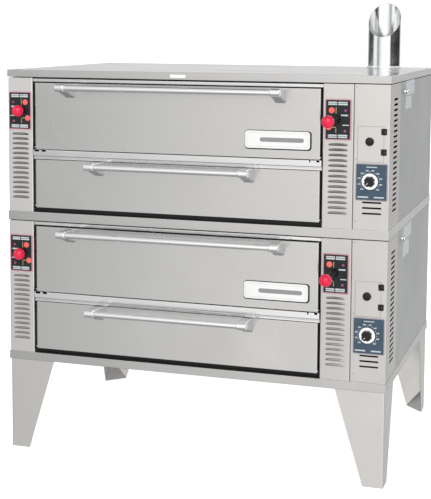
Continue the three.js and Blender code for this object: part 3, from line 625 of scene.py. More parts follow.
def rivet(axis, centre, outward, radius=3.2):
    dome = ((1, 0), (0.85, 0.9), (0.45, 1.5), (0, 1.7))
    profile = [(0, 0), *((radius * across, outward * along) for across, along in dome)]
    return lathe(profile, axis, centre, 16)


def hex_bolt(x, y, z, size=9, height=6):
    """A hexagon head with a washer, below a face."""
    washer = lathe([(0, 0), (size + 2, 0), (size + 2, -1.6), (0, -1.6)], "Z", (x, y, z), 28)
    head = plate("top", circle((x, y), size, 6), (z - 1.6 - height, z - 1.6), edge=0.9)
    return [rounded(washer, 0.4), head]


# ---------------------------------------------------------------- stand
LEG_SHEET = 3
LEG_FOOT, LEG_HEAD = 84, 204  # width of a leg's faces at the floor and at the top
LEG_INSET = 5
LEG_BRACE = 98
BASE_LIP = 118


def leg(toward_x, toward_y):
    """A leg folded from one tapered sheet, drawn with its outside corner at 0, 0."""
    top = BASE_Z[0] - GAP
    fold = Fold([(LEG_HEAD, 0), (0, 0), (0, LEG_HEAD)], radius=6, side=-1, steps=6)
    taper = LEG_HEAD - LEG_FOOT
    outline = softened([(taper, 0), (fold.length - taper, 0), (fold.length, top), (0, top)], 3)
    hole = circle((LEG_FOOT * 0.3, LEG_FOOT * 0.3), 7, 24)
    shapes = [bent(outline, fold, thick=LEG_SHEET, edge=0.7), brace()]
    for reach, radius, span, holes in (
        (LEG_FOOT - 2, 2, (0, LEG_SHEET), [hole]),
        (LEG_HEAD - 6, 3, (top - LEG_SHEET, top), []),
    ):
        shapes.append(plate("top", softened([(4, 4), (reach, 4), (4, reach)], radius), span, holes))
    for x, y in ((60, 60), (120, 34), (34, 120)):
        shapes += hex_bolt(x, y, top - LEG_SHEET)
    whole = merged(shapes)
    whole.transform(Matrix.Diagonal((toward_x, toward_y, 1, 1)))
    return faced_out(whole) if toward_x * toward_y < 0 else whole


def brace():
    """The sloping plate between a leg's two faces, from the foot's diagonal up to the corner."""
    reach, low = LEG_FOOT - 1, 1
    outer = [Vector((reach, 1, low)), Vector((1, reach, low)), Vector((1, 1, LEG_BRACE))]
    normal = (outer[1] - outer[0]).cross(outer[2] - outer[0]).normalized()
    inner = [point + normal * LEG_SHEET for point in outer]
    return rounded(loft([inner, outer]), 0.5)


def tray(z, hollow_z, cutters):
    """A shallow cover or band: folded sheet all round with soft outside edges, hollow inside."""
    outside = plate("top", rectangle(OUTSIDE_X, OUTSIDE_Y, 2.2, 3), z, edge=1.6, segments=3)
    hollow = box(grown(OUTSIDE_X, -SHEET), grown(OUTSIDE_Y, -SHEET), hollow_z, 0)
    return carved(outside, [hollow, *cutters])


def open_tray(z, cutter):
    return tray(z, (z[0] - 1, z[1] - SHEET), [cutter])


def add_stand():
    for depth, y, toward_y in (("front", OUTSIDE_Y[0] + LEG_INSET, 1), ("rear", BACK - LEG_INSET, -1)):
        for side, x, toward_x in (("left", LEG_INSET, 1), ("right", WIDTH - LEG_INSET, -1)):
            name = f"{depth}_{side}_leg"
            shape = leg(toward_x, toward_y)
            shape.transform(Matrix.Translation((x, y, 0)))
            piece("folded_" + name, [shape], "leg_steel", [name])
    opening_z = (BASE_Z[0] - 1, BASE_Z[0] + SHEET + 1)
    opening = box(grown(OUTSIDE_X, -BASE_LIP), grown(OUTSIDE_Y, -BASE_LIP), opening_z, 0)
    base = tray(BASE_Z, grown(BASE_Z, -SHEET), [opening])
    piece("base_band", [base], "base_steel", ["base_frame"])


# ---------------------------------------------------------------- bands, cover, flue
FLUE_X, FLUE_Y, FLUE_RADIUS, FLUE_WALL = 1448, 1005, 76.5, 1.6
FLUE_LOW, FLUE_TOP = COVER_Z[1] + 142, span_of("flue_stack", 2)[1]
FLUE_SLOPE = (FLUE_TOP - FLUE_LOW) / (2 * FLUE_RADIUS)
SEAM_ANGLE, SEAM_HALF, SEAM_PROUD = math.radians(-62), math.radians(7), 1.4
PIPE_X, PIPE_Y, PIPE_RADIUS = 1590, 900, 14


def flue_tube(steps=96, rows=10):
    """Rolled tube with a lapped upright seam and a mouth cut at a slope, low at the front."""
    bottom = COVER_Z[1] - 17
    shape = bmesh.new()
    layers = []
    for wall in (0, FLUE_WALL):
        columns = []
        for i in range(steps):
            angle = 2 * math.pi * i / steps
            off_seam = abs(math.remainder(angle - SEAM_ANGLE, 2 * math.pi))
            lap = SEAM_PROUD if wall == 0 and off_seam < SEAM_HALF else 0
            x, y = polar((0, 0), FLUE_RADIUS - SEAM_PROUD - wall + lap, angle)
            mouth = min(FLUE_LOW + (y + FLUE_RADIUS) * FLUE_SLOPE, FLUE_TOP - 1.5)
            heights = [bottom + (mouth - bottom) * row / rows for row in range(rows + 1)]
            columns.append([shape.verts.new((FLUE_X + x, FLUE_Y + y, z)) for z in heights])
        layers.append(columns)
    outer, inner = layers
    for i in range(steps):
        j = (i + 1) % steps
        for columns in layers:
            here, there = columns[i], columns[j]
            for row in range(rows):
                shape.faces.new((here[row], there[row], there[row + 1], here[row + 1]))
        for row in (0, rows):
            shape.faces.new((outer[i][row], outer[j][row], inner[j][row], inner[i][row]))
    return faced_out(shape)


def add_cover_and_flue():
    pipe = rod("Z", (PIPE_X, PIPE_Y, 0), PIPE_RADIUS + 6, (MIDDLE_Z[0], MIDDLE_Z[1] + 1), 0)
    band = open_tray(MIDDLE_Z, pipe)
    piece("between_decks_band", [band], "band_steel", ["middle_band"])
    flue_hole = rod("Z", (FLUE_X, FLUE_Y, 0), FLUE_RADIUS + 3, (COVER_Z[0], COVER_Z[1] + 1), 0, 64)
    cover = open_tray(COVER_Z, flue_hole)
    for face in cover.faces:
        face.material_index = 1 if face.normal.z > 0.7 else 0
    shapes = [cover]
    for x in grown(OUTSIDE_X, -20):
        for y in (60, BACK - 60):
            shapes += screw("top", (x, y), COVER_Z[1], 1, index=2)
    piece("folded_top_cover", shapes, "band_steel top_steel screw", ["top_cover"])
    outline = rectangle((742, 808), (COVER_Z[0] + 9, COVER_Z[0] + 21), 1.5)
    label = plate("front", outline, (OUTSIDE_Y[0] - 0.4, OUTSIDE_Y[0] + 0.1), edge=0.1)
    piece("fascia_blank_label", [label], "white")
    piece("rolled_flue", [flue_tube()], "rolled", ["flue_stack"])
    inside, outside = FLUE_RADIUS + 0.4, FLUE_RADIUS + 8
    profile = [(inside, 0.2), (outside, 0.2), (outside, 2.2), (inside + 3, 3.4), (inside + 2, 9), (inside, 9)]
    collar = lathe(softened(profile, 0.8, 2), "Z", (FLUE_X, FLUE_Y, COVER_Z[1]), 96, ring=True)
    shapes = [collar]
    for degrees in (45, 135, 225, 315):
        spot = polar((FLUE_X, FLUE_Y), outside - 3, math.radians(degrees))
        shapes.append(rivet("Z", (*spot, COVER_Z[1] + 2), 1, 2.2))
    piece("flue_collar_ring", shapes, "bright", ["flue_collar"])


# ---------------------------------------------------------------- deck body: columns and panels
COLUMN_LEFT_END = 118
COLUMN_RIGHT = (1385, 1508.5)
CONTROL_LEFT = 1509.5
COLUMN_RETURN = 34
LOUVRE_COUNT, LOUVRE_PITCH, LOUVRE_FIRST, LOUVRE_HALF = 14, 21, 64, 41.5
LOUVRE_PROUD, LOUVRE_RISE, LOUVRE_DROP, LOUVRE_WALL = 6.3, 4.8, 2.7, 1.1
LEFT_LOUVRE_X, RIGHT_LOUVRE_X = 60.5, 1447.5
DAMPER_X, DAMPER_HEIGHT = 66, 436
SLEEVE_RADIUS = 16
SIDE_SEAM_Y = 236


def louvre(x, z, across=18, down=7):
    """A pressed louvre: a lens-shaped hood with tapering ends, open below."""
    shape = bmesh.new()
    layers = []
    for wall in (0, LOUVRE_WALL):
        grid = []
        for i in range(across + 1):
            u = -1 + 2 * i / across
            swell = math.sqrt(max(0.0, 1 - abs(u) ** 3.2))
            top = z + LOUVRE_RISE * swell - LOUVRE_DROP * (1 - swell) - wall
            lip = z - LOUVRE_DROP
            column = []
            for j in range(down + 1):
                v = j / down
                y = 0.4 - (LOUVRE_PROUD - wall) * swell * v ** 0.92
                column.append(shape.verts.new((x + u * (LOUVRE_HALF - wall), y, top + (lip - top) * v)))
            grid.append(column)
        layers.append(grid)
    for grid in layers:
        for i in range(across):
            for j in range(down):
                shape.faces.new((grid[i][j], grid[i + 1][j], grid[i + 1][j + 1], grid[i][j + 1]))
    outer, inner = layers
    for i in range(across):
        for j in (0, down):
            shape.faces.new((outer[i][j], outer[i + 1][j], inner[i + 1][j], inner[i][j]))
    for j in range(down):
        for i in (0, across):
            shape.faces.new((outer[i][j], outer[i][j + 1], inner[i][j + 1], inner[i][j]))
    return faced_out(shape)


def column(fold, left, louvre_x, rod_x):
    """A column's folded sheet with slots, and the louvre hoods over them. left is its face's left edge."""
    levels = [LOUVRE_FIRST + i * LOUVRE_PITCH for i in range(LOUVRE_COUNT)]
    reach = [fold.at(1, louvre_x + side * (LOUVRE_HALF - 4) - left) for side in (-1, 1)]
    holes = [rectangle(reach, (z - 6, z + 2), 3, 3) for z in levels]
    holes.append(circle((fold.at(1, rod_x - left), DAMPER_HEIGHT), SLEEVE_RADIUS + 2, 32))
    sheet = bent(rectangle((0, fold.length), PANEL_Z), fold, holes)
    # The hoods take the piece's second material, the darker louvre steel: painted shade.
    return [sheet, *(painted(louvre(louvre_x, z), 1) for z in levels)]


def left_column():
    corners = [(BODY_LEFT, 4.5), (BODY_LEFT, 0), (COLUMN_LEFT_END, 0), (COLUMN_LEFT_END, COLUMN_RETURN)]
    return column(Fold(corners, 4.4), BODY_LEFT, LEFT_LOUVRE_X, DAMPER_X)


def right_column():
    left, right = COLUMN_RIGHT
    fold = Fold([(left, COLUMN_RETURN), (left, 0), (right, 0), (right, COLUMN_RETURN)])
    return column(fold, left, RIGHT_LOUVRE_X, MIRROR_X - DAMPER_X)


def left_side():
    shapes = [plate("side", rectangle((5, BODY_BACK), PANEL_Z), (BODY_LEFT, BODY_LEFT + SHEET))]
    for y in (40, 420, 780, 1130):
        for height in (22, DECK_HEIGHT - 22):
            shapes += screw("side", (y, height), BODY_LEFT, -1, 3.6)
    return shapes


PULL_Y, PULL_HEIGHT, PULL_RADIUS, PULL_REACH = 338, 534, 13, 18
PULL_PROFILE = (
    (0, -1),
    (0.6, -1),
    (0.45, 6),
    (0.8, 9.5),
    (1, 12),
    (0.92, 15),
    (0.6, PULL_REACH - 0.6),
    (0.3, PULL_REACH),
    (0, PULL_REACH),
)


def right_side():
    """The side panel behind the control cover's seam, with a small turned pull."""
    outline = rectangle((SIDE_SEAM_Y + 1, BODY_BACK), PANEL_Z)
    profile = [(PULL_RADIUS * across, along) for across, along in PULL_PROFILE]
    pull = lathe(profile, "X", (BODY_RIGHT, PULL_Y, PULL_HEIGHT), 32)
    return [plate("side", outline, (BODY_RIGHT - SHEET, BODY_RIGHT)), painted(pull, 2)]


SIDE_LABELS = {
    "upper": [((371, 600), (516, 577), 9), ((367, 524), (459, 511), 3)],
    "lower": [((375, 589), (515, 575), 9), ((368, 534), (444, 508), 3)],
}


# ---------------------------------------------------------------- control compartment
SIDE_SLOTS, SIDE_SLOT_PITCH, SIDE_SLOT_FIRST, SIDE_SLOT_Y = 22, 21.2, 68, (82, 174)
FRONT_SLOTS, FRONT_SLOT_X = (66, 88, 110), (1547, 1624)
ACCESS_X, ACCESS_Z = (1526, 1629.5), (270, 411)
HINGE_PIN = (1630, -4, 0)  # of the access door
ACCESS_HINGE_HEIGHTS = (310.5, 391)
LEAF_NEAR, LEAF_FAR, LEAF_HEIGHT, LEAF_THICK = 4, 11.5, 25, 2
BARREL_RADIUS = 3.4
DIAL = (1577, 194)
LATCH_X, LATCH_HEIGHT = 1573.5, 351
COVER_SCREWS = ((1520, 565), (1520, 280), (1521, 34))
SHIELD_Y = (224, 226)  # a dark sheet behind the controls, so no light comes through the slots


def control_cover():
    """The control compartment's cover, front and side folded from one sheet, with the shield inside it."""
    start, end = (CONTROL_LEFT, COLUMN_RETURN), (BODY_RIGHT, SIDE_SEAM_Y)
    fold = Fold([start, (CONTROL_LEFT, 0), (BODY_RIGHT, 0), end])
    left = CONTROL_LEFT
    opening = (fold.at(1, ACCESS_X[0] - 0.7 - left), fold.at(1, HINGE_PIN[0] + 0.2 - left))
    holes = [rectangle(opening, grown(ACCESS_Z, 0.7), 0.6, 2)]
    holes.append(circle((fold.at(1, DIAL[0] - left), DIAL[1]), 8, 24))
    slot = [fold.at(1, x - left) for x in FRONT_SLOT_X]
    holes += [rectangle(slot, (z - 3.5, z + 3.5), 3.4) for z in FRONT_SLOTS]
    slot = [fold.at(2, y) for y in SIDE_SLOT_Y]
    for i in range(SIDE_SLOTS):
        z = SIDE_SLOT_FIRST + i * SIDE_SLOT_PITCH
        holes.append(rectangle(slot, (z - 4.5, z + 4.5), 4.4))
    shapes = [bent(rectangle((0, fold.length), PANEL_Z), fold, holes)]
    for spot in COVER_SCREWS:
        shapes += screw("front", spot, 0, -1, 3.4)
    shield_x = grown((CONTROL_LEFT, BODY_RIGHT), -SHEET - 1)
    shapes.append(painted(plate("front", rectangle(shield_x, (5, DECK_HEIGHT - 8), 2), SHIELD_Y), 2))
    third = LEAF_HEIGHT / 3
    return shapes + hinge_leaves(1, ((0, third - GAP), (2 * third + GAP, LEAF_HEIGHT)), 2)


def access_door():
    outline = rectangle(ACCESS_X, ACCESS_Z, 0.6, 2)
    leaf = plate("front", outline, (0, SHEET), [circle((LATCH_X, LATCH_HEIGHT), 6.5, 24)])
    return [leaf, *hinge_leaves(-1, ((LEAF_HEIGHT / 3, LEAF_HEIGHT * 2 / 3),), 1)]


def hinge_leaves(outward, knuckles, index):
    """The small hinges' leaves and barrel knuckles on one side of the access door's pin, +1 or -1."""
    pin_x, pin_y = HINGE_PIN[:2]
    shapes = []
    for height in ACCESS_HINGE_HEIGHTS:
        z = height - LEAF_HEIGHT / 2
        x = sorted(pin_x + outward * reach for reach in (LEAF_NEAR, LEAF_FAR))
        outline = rectangle(x, (z, z + LEAF_HEIGHT), 1.2, 3)
        shapes.append(plate("front", outline, (-LEAF_THICK, SHEET / 4), edge=0.4))
        for low, high in knuckles:
            span = (z + low, z + high)
            shapes.append(rod("Z", HINGE_PIN, BARREL_RADIUS - 0.1, span, 0.5, 24))
            web = sorted((pin_x, pin_x + outward * (LEAF_NEAR + 1)))
            shapes.append(box(web, (pin_y + 1, -0.8), span, 0.3))
        for rise in (6, LEAF_HEIGHT - 6):
            shapes.append(rivet("Y", (pin_x + outward * 8, -LEAF_THICK, z + rise), -0.7, 2))
    return [painted(shape, index) for shape in shapes]


def latch():
    """A quarter-turn knob with a finger bar, its spindle and cam."""
    centre = (LATCH_X, 0, LATCH_HEIGHT)
    x, z = (LATCH_X, LATCH_X), (LATCH_HEIGHT, LATCH_HEIGHT)
    dome = knob([(0, -0.3), (17, -0.3), (17, -4.2), (13.2, -9.2), (7, -11), (0, -11)], "Y", centre, 44, 1.6)
    grip = box(grown(x, 13), (-15, -7), grown(z, 3.2), 1.8, 4)
    spindle = rod("Y", centre, 5.5, (-2, 12), 0.6, 24)
    cam = plate("front", rectangle((LATCH_X - 24, LATCH_X + 7), grown(z, 7), 6.5), (SHEET + 3, SHEET + 6))
    return [dome, grip, painted(spindle, 1), painted(cam, 1)]


THERMOSTAT_X, THERMOSTAT_Z = (1519.5, 1647.5), (117, 265)
PLATE_FRONT = -2.3  # front face of the thermostat plate
PRINT = 0.12  # how far printed marks stand proud
SCALE_STEPS, SCALE_SWEEP, SCALE_LOW = 10, 270, 225  # degrees
SCALE_PRINTS = (((1563, 1605), (249, 252.5)), ((1529, 1571), (129, 134)), ((1594, 1634), (129, 134)))
SKIRT_RADIUS, GRIP_RADIUS = 32, 21


def printed(outline, face, index, holes=()):
    """A printed mark on a front face."""
    return painted(plate("front", outline, (face - PRINT, face + 0.3), holes, edge=0.04, segments=1), index)


def lettering(text, height, centre, face, index):
    """Raised digits on a front face."""
    curve = bpy.data.curves.new("digits", "FONT")
    curve.body = text
    curve.size = height * 1.4
    curve.extrude = PRINT
    curve.align_x, curve.align_y = "CENTER", "CENTER"
    item = bpy.data.objects.new("digits", curve)
    bpy.context.scene.collection.objects.link(item)
    shape = as_shape(item)
    bpy.data.objects.remove(item)
    bpy.data.curves.remove(curve)
    bmesh.ops.remove_doubles(shape, verts=shape.verts[:], dist=0.001)
    shape.transform(Matrix.Translation((centre[0], face, centre[1])) @ Matrix.Rotation(math.pi / 2, 4, "X"))
    return painted(faced_out(shape), index)


def thermostat_plate():
    hole = circle(DIAL, 8, 24)
    base = plate("front", rectangle(THERMOSTAT_X, THERMOSTAT_Z, 5), (PLATE_FRONT, -GAP), [hole])
    field = rectangle(grown(THERMOSTAT_X, -3.5), grown(THERMOSTAT_Z, -3.5), 2)
    shapes = [painted(base, 1), printed(field, PLATE_FRONT, 0, [hole])]
    face = PLATE_FRONT - PRINT
    step = math.radians(SCALE_SWEEP / (SCALE_STEPS - 1))
    for i in range(SCALE_STEPS):
        angle = math.radians(SCALE_LOW) - i * step
        shapes.append(lettering(str(200 + 50 * i), 6, polar(DIAL, 44, angle), face, 2))
        if i < SCALE_STEPS - 1:
            tick = rectangle((36.5, 40.5), (-0.6, 0.6))
            shapes.append(printed(turned(tick, DIAL, angle - step / 2), face, 2))
    return shapes + [printed(rectangle(x, z, 1), face, 3) for x, z in SCALE_PRINTS]


def thermostat_knob(back=-2.6, steps=96):
    """A white skirt and a scalloped black grip with a pointer line, at the low end of the scale."""
    axis = (DIAL[0], 0, DIAL[1])
    rim = SKIRT_RADIUS
    profile = [(0, back), (rim, back), (rim, back - 2.2), (rim - 7, back - 4), (0, back - 4)]
    skirt = knob(profile, "Y", axis, 64)
    rings = []
    for depth, shrink in ((3.5, 0.0), (5, -0.6), (22, 1.2), (25, 3.4), (26, 6.0)):
        ring = []
        for i in range(steps):
            angle = 2 * math.pi * i / steps
            scallop = 2.6 * max(0.0, math.cos(4 * angle)) ** 2 + 0.6 * math.cos(8 * angle)
            x, z = polar(DIAL, GRIP_RADIUS - shrink - scallop * (1 if shrink < 5 else 0.3), angle)
            ring.append((x, back - depth, z))
        rings.append(ring)
    shaft = rod("Y", axis, 5, (back, 30), 0.6, 20)
    low = math.radians(SCALE_LOW)
    line = turned(rectangle((5, 13.5), (-0.9, 0.9), 0.4, 2), DIAL, low)
    line = plate("front", line, (back - 26.25, back - 25), edge=0.1)
    tick = turned(rectangle((25.5, 30.5), (-1.0, 1.0)), DIAL, low)
    tick = plate("front", tick, (back - 4.2, back - 2), edge=0.1)
    return [painted(skirt, 1), loft(rings), painted(shaft, 2), painted(line, 1), tick]


# ---------------------------------------------------------------- dampers
PLATE_HALF, PLATE_Z = 54, (352, 517)
PLATE_FACE = -1.8
BALL_RADIUS, BALL_FLAT = 25, 18
BLADE_Y, BLADE_HALF, BLADE_THICK = (290, 420), 50, 2.5
ROD_AND_BALL_MARKS = (  # centre's distance from the rod, height, radius, segments and look
    (18, 471, 12, 28, 2),
    (29, 404, 12, 28, 2),
    (-38, 471, 5, 20, 5),
    (-36, 390, 5, 20, 5),
)
LINE_MARKS = (  # span from the rod, heights, corner radius and look
    ((-1, 1.5), (458, 483), 0, 4),
    ((-1, 1.5), (382, 399), 0, 4),
    ((0, 20), (402, 405), 0, 4),
    ((-48, -20), (449, 455), 1, 3),
    ((-52, -27), (411, 415), 1, 3),
)
BLANK_STRIPS = ((492, 498), (500, 505), (362, 367), (369, 375))


def damper_plate(centre_x, rod_x, toward):
    """The printed plate: margin, dark field, blank strips and rod-and-ball marks. toward is +1 when the
    marks' balls lie to the right of the rod."""
    x = grown((centre_x, centre_x), PLATE_HALF)
    hole = circle((rod_x, DAMPER_HEIGHT), SLEEVE_RADIUS + 2, 32)
    shapes = [painted(plate("front", rectangle(x, PLATE_Z, 7), (PLATE_FACE, -GAP), [hole], edge=0.4), 1)]
    shapes.append(printed(rectangle(grown(x, -5), grown(PLATE_Z, -5), 4), PLATE_FACE, 0, [hole]))
    marks = []
    for distance, height, radius, steps, index in ROD_AND_BALL_MARKS:
        marks.append((circle((rod_x + toward * distance, height), radius, steps), index))
    for span, height, radius, index in LINE_MARKS:
        marks.append((rectangle(sorted(rod_x + toward * end for end in span), height, radius), index))
    for strip in BLANK_STRIPS:
        for span in ((centre_x - 40, centre_x - 4), (centre_x, centre_x + 38)):
            marks.append((rectangle(span, strip, 1), 3))
    return shapes + [printed(outline, PLATE_FACE - PRINT, index) for outline, index in marks]


def ball(centre, steps=48, rows=24):
    """A ball knob, cut flat where it meets its sleeve."""
    profile = []
    flat_angle = math.acos(BALL_FLAT / BALL_RADIUS)
    for row in range(rows + 1):
        angle = math.pi - (math.pi - flat_angle) * row / rows
        profile.append((BALL_RADIUS * math.sin(angle), BALL_RADIUS * math.cos(angle)))
    profile[0] = (0, -BALL_RADIUS)
    profile.append((profile[-1][0] * 0.9, BALL_FLAT + 0.1))
    profile.append((0, BALL_FLAT + 0.1))
    return lathe(profile, "Y", centre, steps)


def sleeve_and_blade(node, rod_x):
    """The sleeve, its rod and the blade inside the oven, as far out as the CAD frame has them."""
    z = (DAMPER_HEIGHT, DAMPER_HEIGHT)
    axis = (rod_x, 0, DAMPER_HEIGHT)
    start, end = span_of(node, 1)
    pulled = BLADE_Y[1] - end
    wide, tip = SLEEVE_RADIUS, 150 - pulled
    profile = [(0, start), (wide - 3, start), (wide, start + 5), (wide, tip), (0, tip)]
    sleeve = knob(profile, "Y", axis, 40, 1.5)
    inner_rod = rod("Y", axis, 6, (140 - pulled, 366 - pulled), 0.5, 20)
    blade_x = span_of(node, 0)
    if rod_x < MIRROR_X / 2:
        blade_x = (blade_x[1] - BLADE_THICK, blade_x[1])
    else:
        blade_x = (blade_x[0], blade_x[0] + BLADE_THICK)
    outline = rectangle([y - pulled for y in BLADE_Y], grown(z, BLADE_HALF), 6)
    arm_x = (min(rod_x - 6, blade_x[0]), max(rod_x + 6, blade_x[1]))
    arm = box(arm_x, (354 - pulled, 368 - pulled), grown(z, 7), 1)
    return [sleeve, *(painted(shape, 1) for shape in (inner_rod, plate("side", outline, blade_x), arm))]


# ---------------------------------------------------------------- doors, handles, sill
HANDLE_OUT, HANDLE_RADIUS, SOCKET_RADIUS, BRACKET_WIDTH = 97, 12.5, 16, 47
LUG_X = (121.5, 125.5)
PIN_RADIUS = 3.6


def door(height):
    """A hollow door with round upright edges, a pressed inner pan, hinge pins and a vent slot below."""
    low = height[0]
    sides = (DOOR_LEFT, DOOR_RIGHT)
    corners = [
        (DOOR_LEFT, DOOR_THICK, 1.5),
        (DOOR_LEFT, 0, 6),
        (DOOR_RIGHT, 0, 6),
        (DOOR_RIGHT, DOOR_THICK, 1.5),
    ]
    skin = plate("top", softened(corners, steps=6), height, edge=1.2, segments=3)
    recess = rectangle(grown(sides, -36), grown(height, -30), 14)
    recess = plate("front", recess, (DOOR_THICK - 5, DOOR_THICK + 2), edge=0)
    vent = box((702, 802), (14, 24), (low - 1, low + 12), 0)
    pan = rectangle(grown(sides, -52), grown(height, -46), 10)
    pan = plate("front", pan, (DOOR_THICK - 6, DOOR_THICK - 2), edge=1.4, segments=3)
    shapes = [carved(skin, [recess, vent]), painted(pan, 1)]
    for x in (DOOR_LEFT + 18, MIRROR_X / 2, DOOR_RIGHT - 18):
        for z in grown(height, -15):
            shapes += screw("front", (x, z), DOOR_THICK - 1.9, 1, 4, index=2)
    pin = (LUG_X[0] + 0.5, DOOR_LEFT + 8)
    for span in (pin, mirrored(pin)):
        shapes.append(painted(rod("X", (0, HINGE_Y, low + HINGE_RISE), PIN_RADIUS, span, 0.5, 24), 2))
    return shapes


BRACKET_STATIONS = (  # distance out from the door, width, and how far it reaches below and above the rail
    (GAP, 1, 45, 13, 8),
    (5, 1, 45, 13, 8),
    (11, 0.94, 42, 13, 8),
    (40, 0.90, 32, 14, 7),
    (72, 0.88, 21, 15, 6),
    (HANDLE_OUT - 2, 0.88, 13, 14, 6),
    (HANDLE_OUT + 3, 0.88, 11, 12, 5),
)


def bracket(centre, z):
    """A satin casting that carries the bar: a broad foot on the door, narrowing to a saddle."""
    sections = []
    for out, width, below, above, radius in BRACKET_STATIONS:
        left, right = grown((centre, centre), BRACKET_WIDTH / 2 * width)
        low, high = z - below, z + above
        corners = [(left, high, 4), (left, low, radius), (right, low, radius), (right, high, 4)]
        sections.append([(u, -out, v) for u, v in softened(corners, steps=5)])
    return loft(sections)


def handle(left, z):
    axis = (0, -HANDLE_OUT, z)
    shapes = [rod("X", axis, HANDLE_RADIUS, grown((left, MIRROR_X - left), -20), 0.5, 40)]
    rim, wide = HANDLE_RADIUS - 0.1, SOCKET_RADIUS
    socket = ((0, 0), (rim + 1, 0), (wide, 2), (wide, 38), (rim + 1.5, 40.5), (rim, 41.5), (0, 41.5))
    for end, inward in ((left, 1), (MIRROR_X - left, -1)):
        centre = end + inward * BRACKET_WIDTH / 2
        profile = [(radius, inward * along) for radius, along in socket]
        shapes.append(painted(knob(profile, "X", (end, -HANDLE_OUT, z), 40, 1.2), 2))
        bolt = lathe([(0, 0), (4, 0), (4, -1.5), (2.6, -3), (0, -3.2)], "Y", (centre, -11, z - 34), 20)
        shapes += [painted(bracket(centre, z), 1), painted(bolt, 1)]
    return shapes


def strip(path, thick):
    """The outline of a thin sheet that follows a path of points, thick to the path's right."""
    points = [Vector(point) for point in path]
    inner = []
    for i, point in enumerate(points):
        before = (point - points[i - 1]).normalized() if i else None
        after = (points[i + 1] - point).normalized() if i + 1 < len(points) else before
        heading = (before or after) + after
        square = Vector((heading.y, -heading.x)).normalized()
        inner.append(point + square * (thick / max(0.5, square.dot(Vector((after.y, -after.x))))))
    return [tuple(point) for point in points] + [tuple(point) for point in reversed(inner)]


NOTCHES = ((128, 150), (162, 181), mirrored((130, 142)), mirrored((166, 172)))


def sill():
    """Bright folded rail between the doors: square nose, groove and drip lip, notched near both ends."""
    low, high = SILL
    path = [
        (39.5, high - 8),
        (13, high, 3),
        (-6, high, 4),
        (-6, high - 28, 5),
        (8, high - 29),
        (8, high - 33),
        (0, high - 33.5),
        (0, low - 1.5),
        (39.5, low - 0.5),
    ]
    path = softened(path, steps=5, closed=False)
    rail = plate("side", strip(path[::-1], 1.5), (LUG_X[0], MIRROR_X - LUG_X[0]), edge=0.2, segments=1)
    shapes = [carved(rail, [box(x, (-10, 10), (high - 8, high + 1), 0) for x in NOTCHES])]
    axis_z = BAKING_DOOR[0] + HINGE_RISE
    # The lugs take black iron so they melt into the shaded gap beside the door: painted shade.
    return shapes + lugs(rectangle((-3, 16), (high - 9, axis_z + 7), 3), axis_z, 1)


def lugs(outline, axis_z, index):
    """The two hinge lugs beside a door's ends."""
    hole = circle((HINGE_Y, axis_z), PIN_RADIUS + 1, 24)
    return [painted(plate("side", outline, x, [hole], edge=0.4), index) for x in (LUG_X, mirrored(LUG_X))]


BADGE_X, BADGE_Z, BADGE_THICK = (1064, 1340), (306, 384), 8


def badge():
    """A blank enamelled plate on a dark backing, with a thin border and a plain bar."""
    backing = plate("front", rectangle(BADGE_X, BADGE_Z, 13, 6), (-4.5, -GAP), edge=0.8)
    x, z = (BADGE_X[0] + 2, BADGE_X[1] - 5), (BADGE_Z[0] + 5, BADGE_Z[1] - 2)
    face = plate("front", rectangle(x, z, 12, 6), (-BADGE_THICK, -3), edge=1.4, segments=3)
    border = rectangle(grown(x, -7.5), grown(z, -7.5), 8.5, 5)
    inner = rectangle(grown(x, -9), grown(z, -9), 7, 5)
    line = plate("front", border, (-BADGE_THICK - 0.15, -7), [inner], edge=0.05, segments=1)
    middle = (z[0] + z[1]) / 2
    bar = rectangle((x[0] + 62, x[1] - 24), (middle - 9, middle + 9), 9, 6)
    bar = plate("front", bar, (-BADGE_THICK - 0.2, -7), edge=0.1, segments=1)
    return [painted(backing, 1), face, painted(line, 2), painted(bar, 3)]


# ---------------------------------------------------------------- inside a deck
FRAME_X = (COLUMN_LEFT_END + 1, COLUMN_RIGHT[0] - 1)
FRAME_Y = (40, 42.5)
CHAMBER_X, CHAMBER_BACK, CHAMBER_TOP, WALL = (142, 1362), 959.5, 513.5, 2.5
HEARTH = (285.8, 311)
DAMPER_PORT_Y, DAMPER_PORT_HALF = (300, 400), 40
HEADER_Z = (559, 573.5)  # the header stops short of the band, which leaves a dark joint
BURNER_HEIGHT = 110
BURNER_X = (300, 600, 900, 1200)


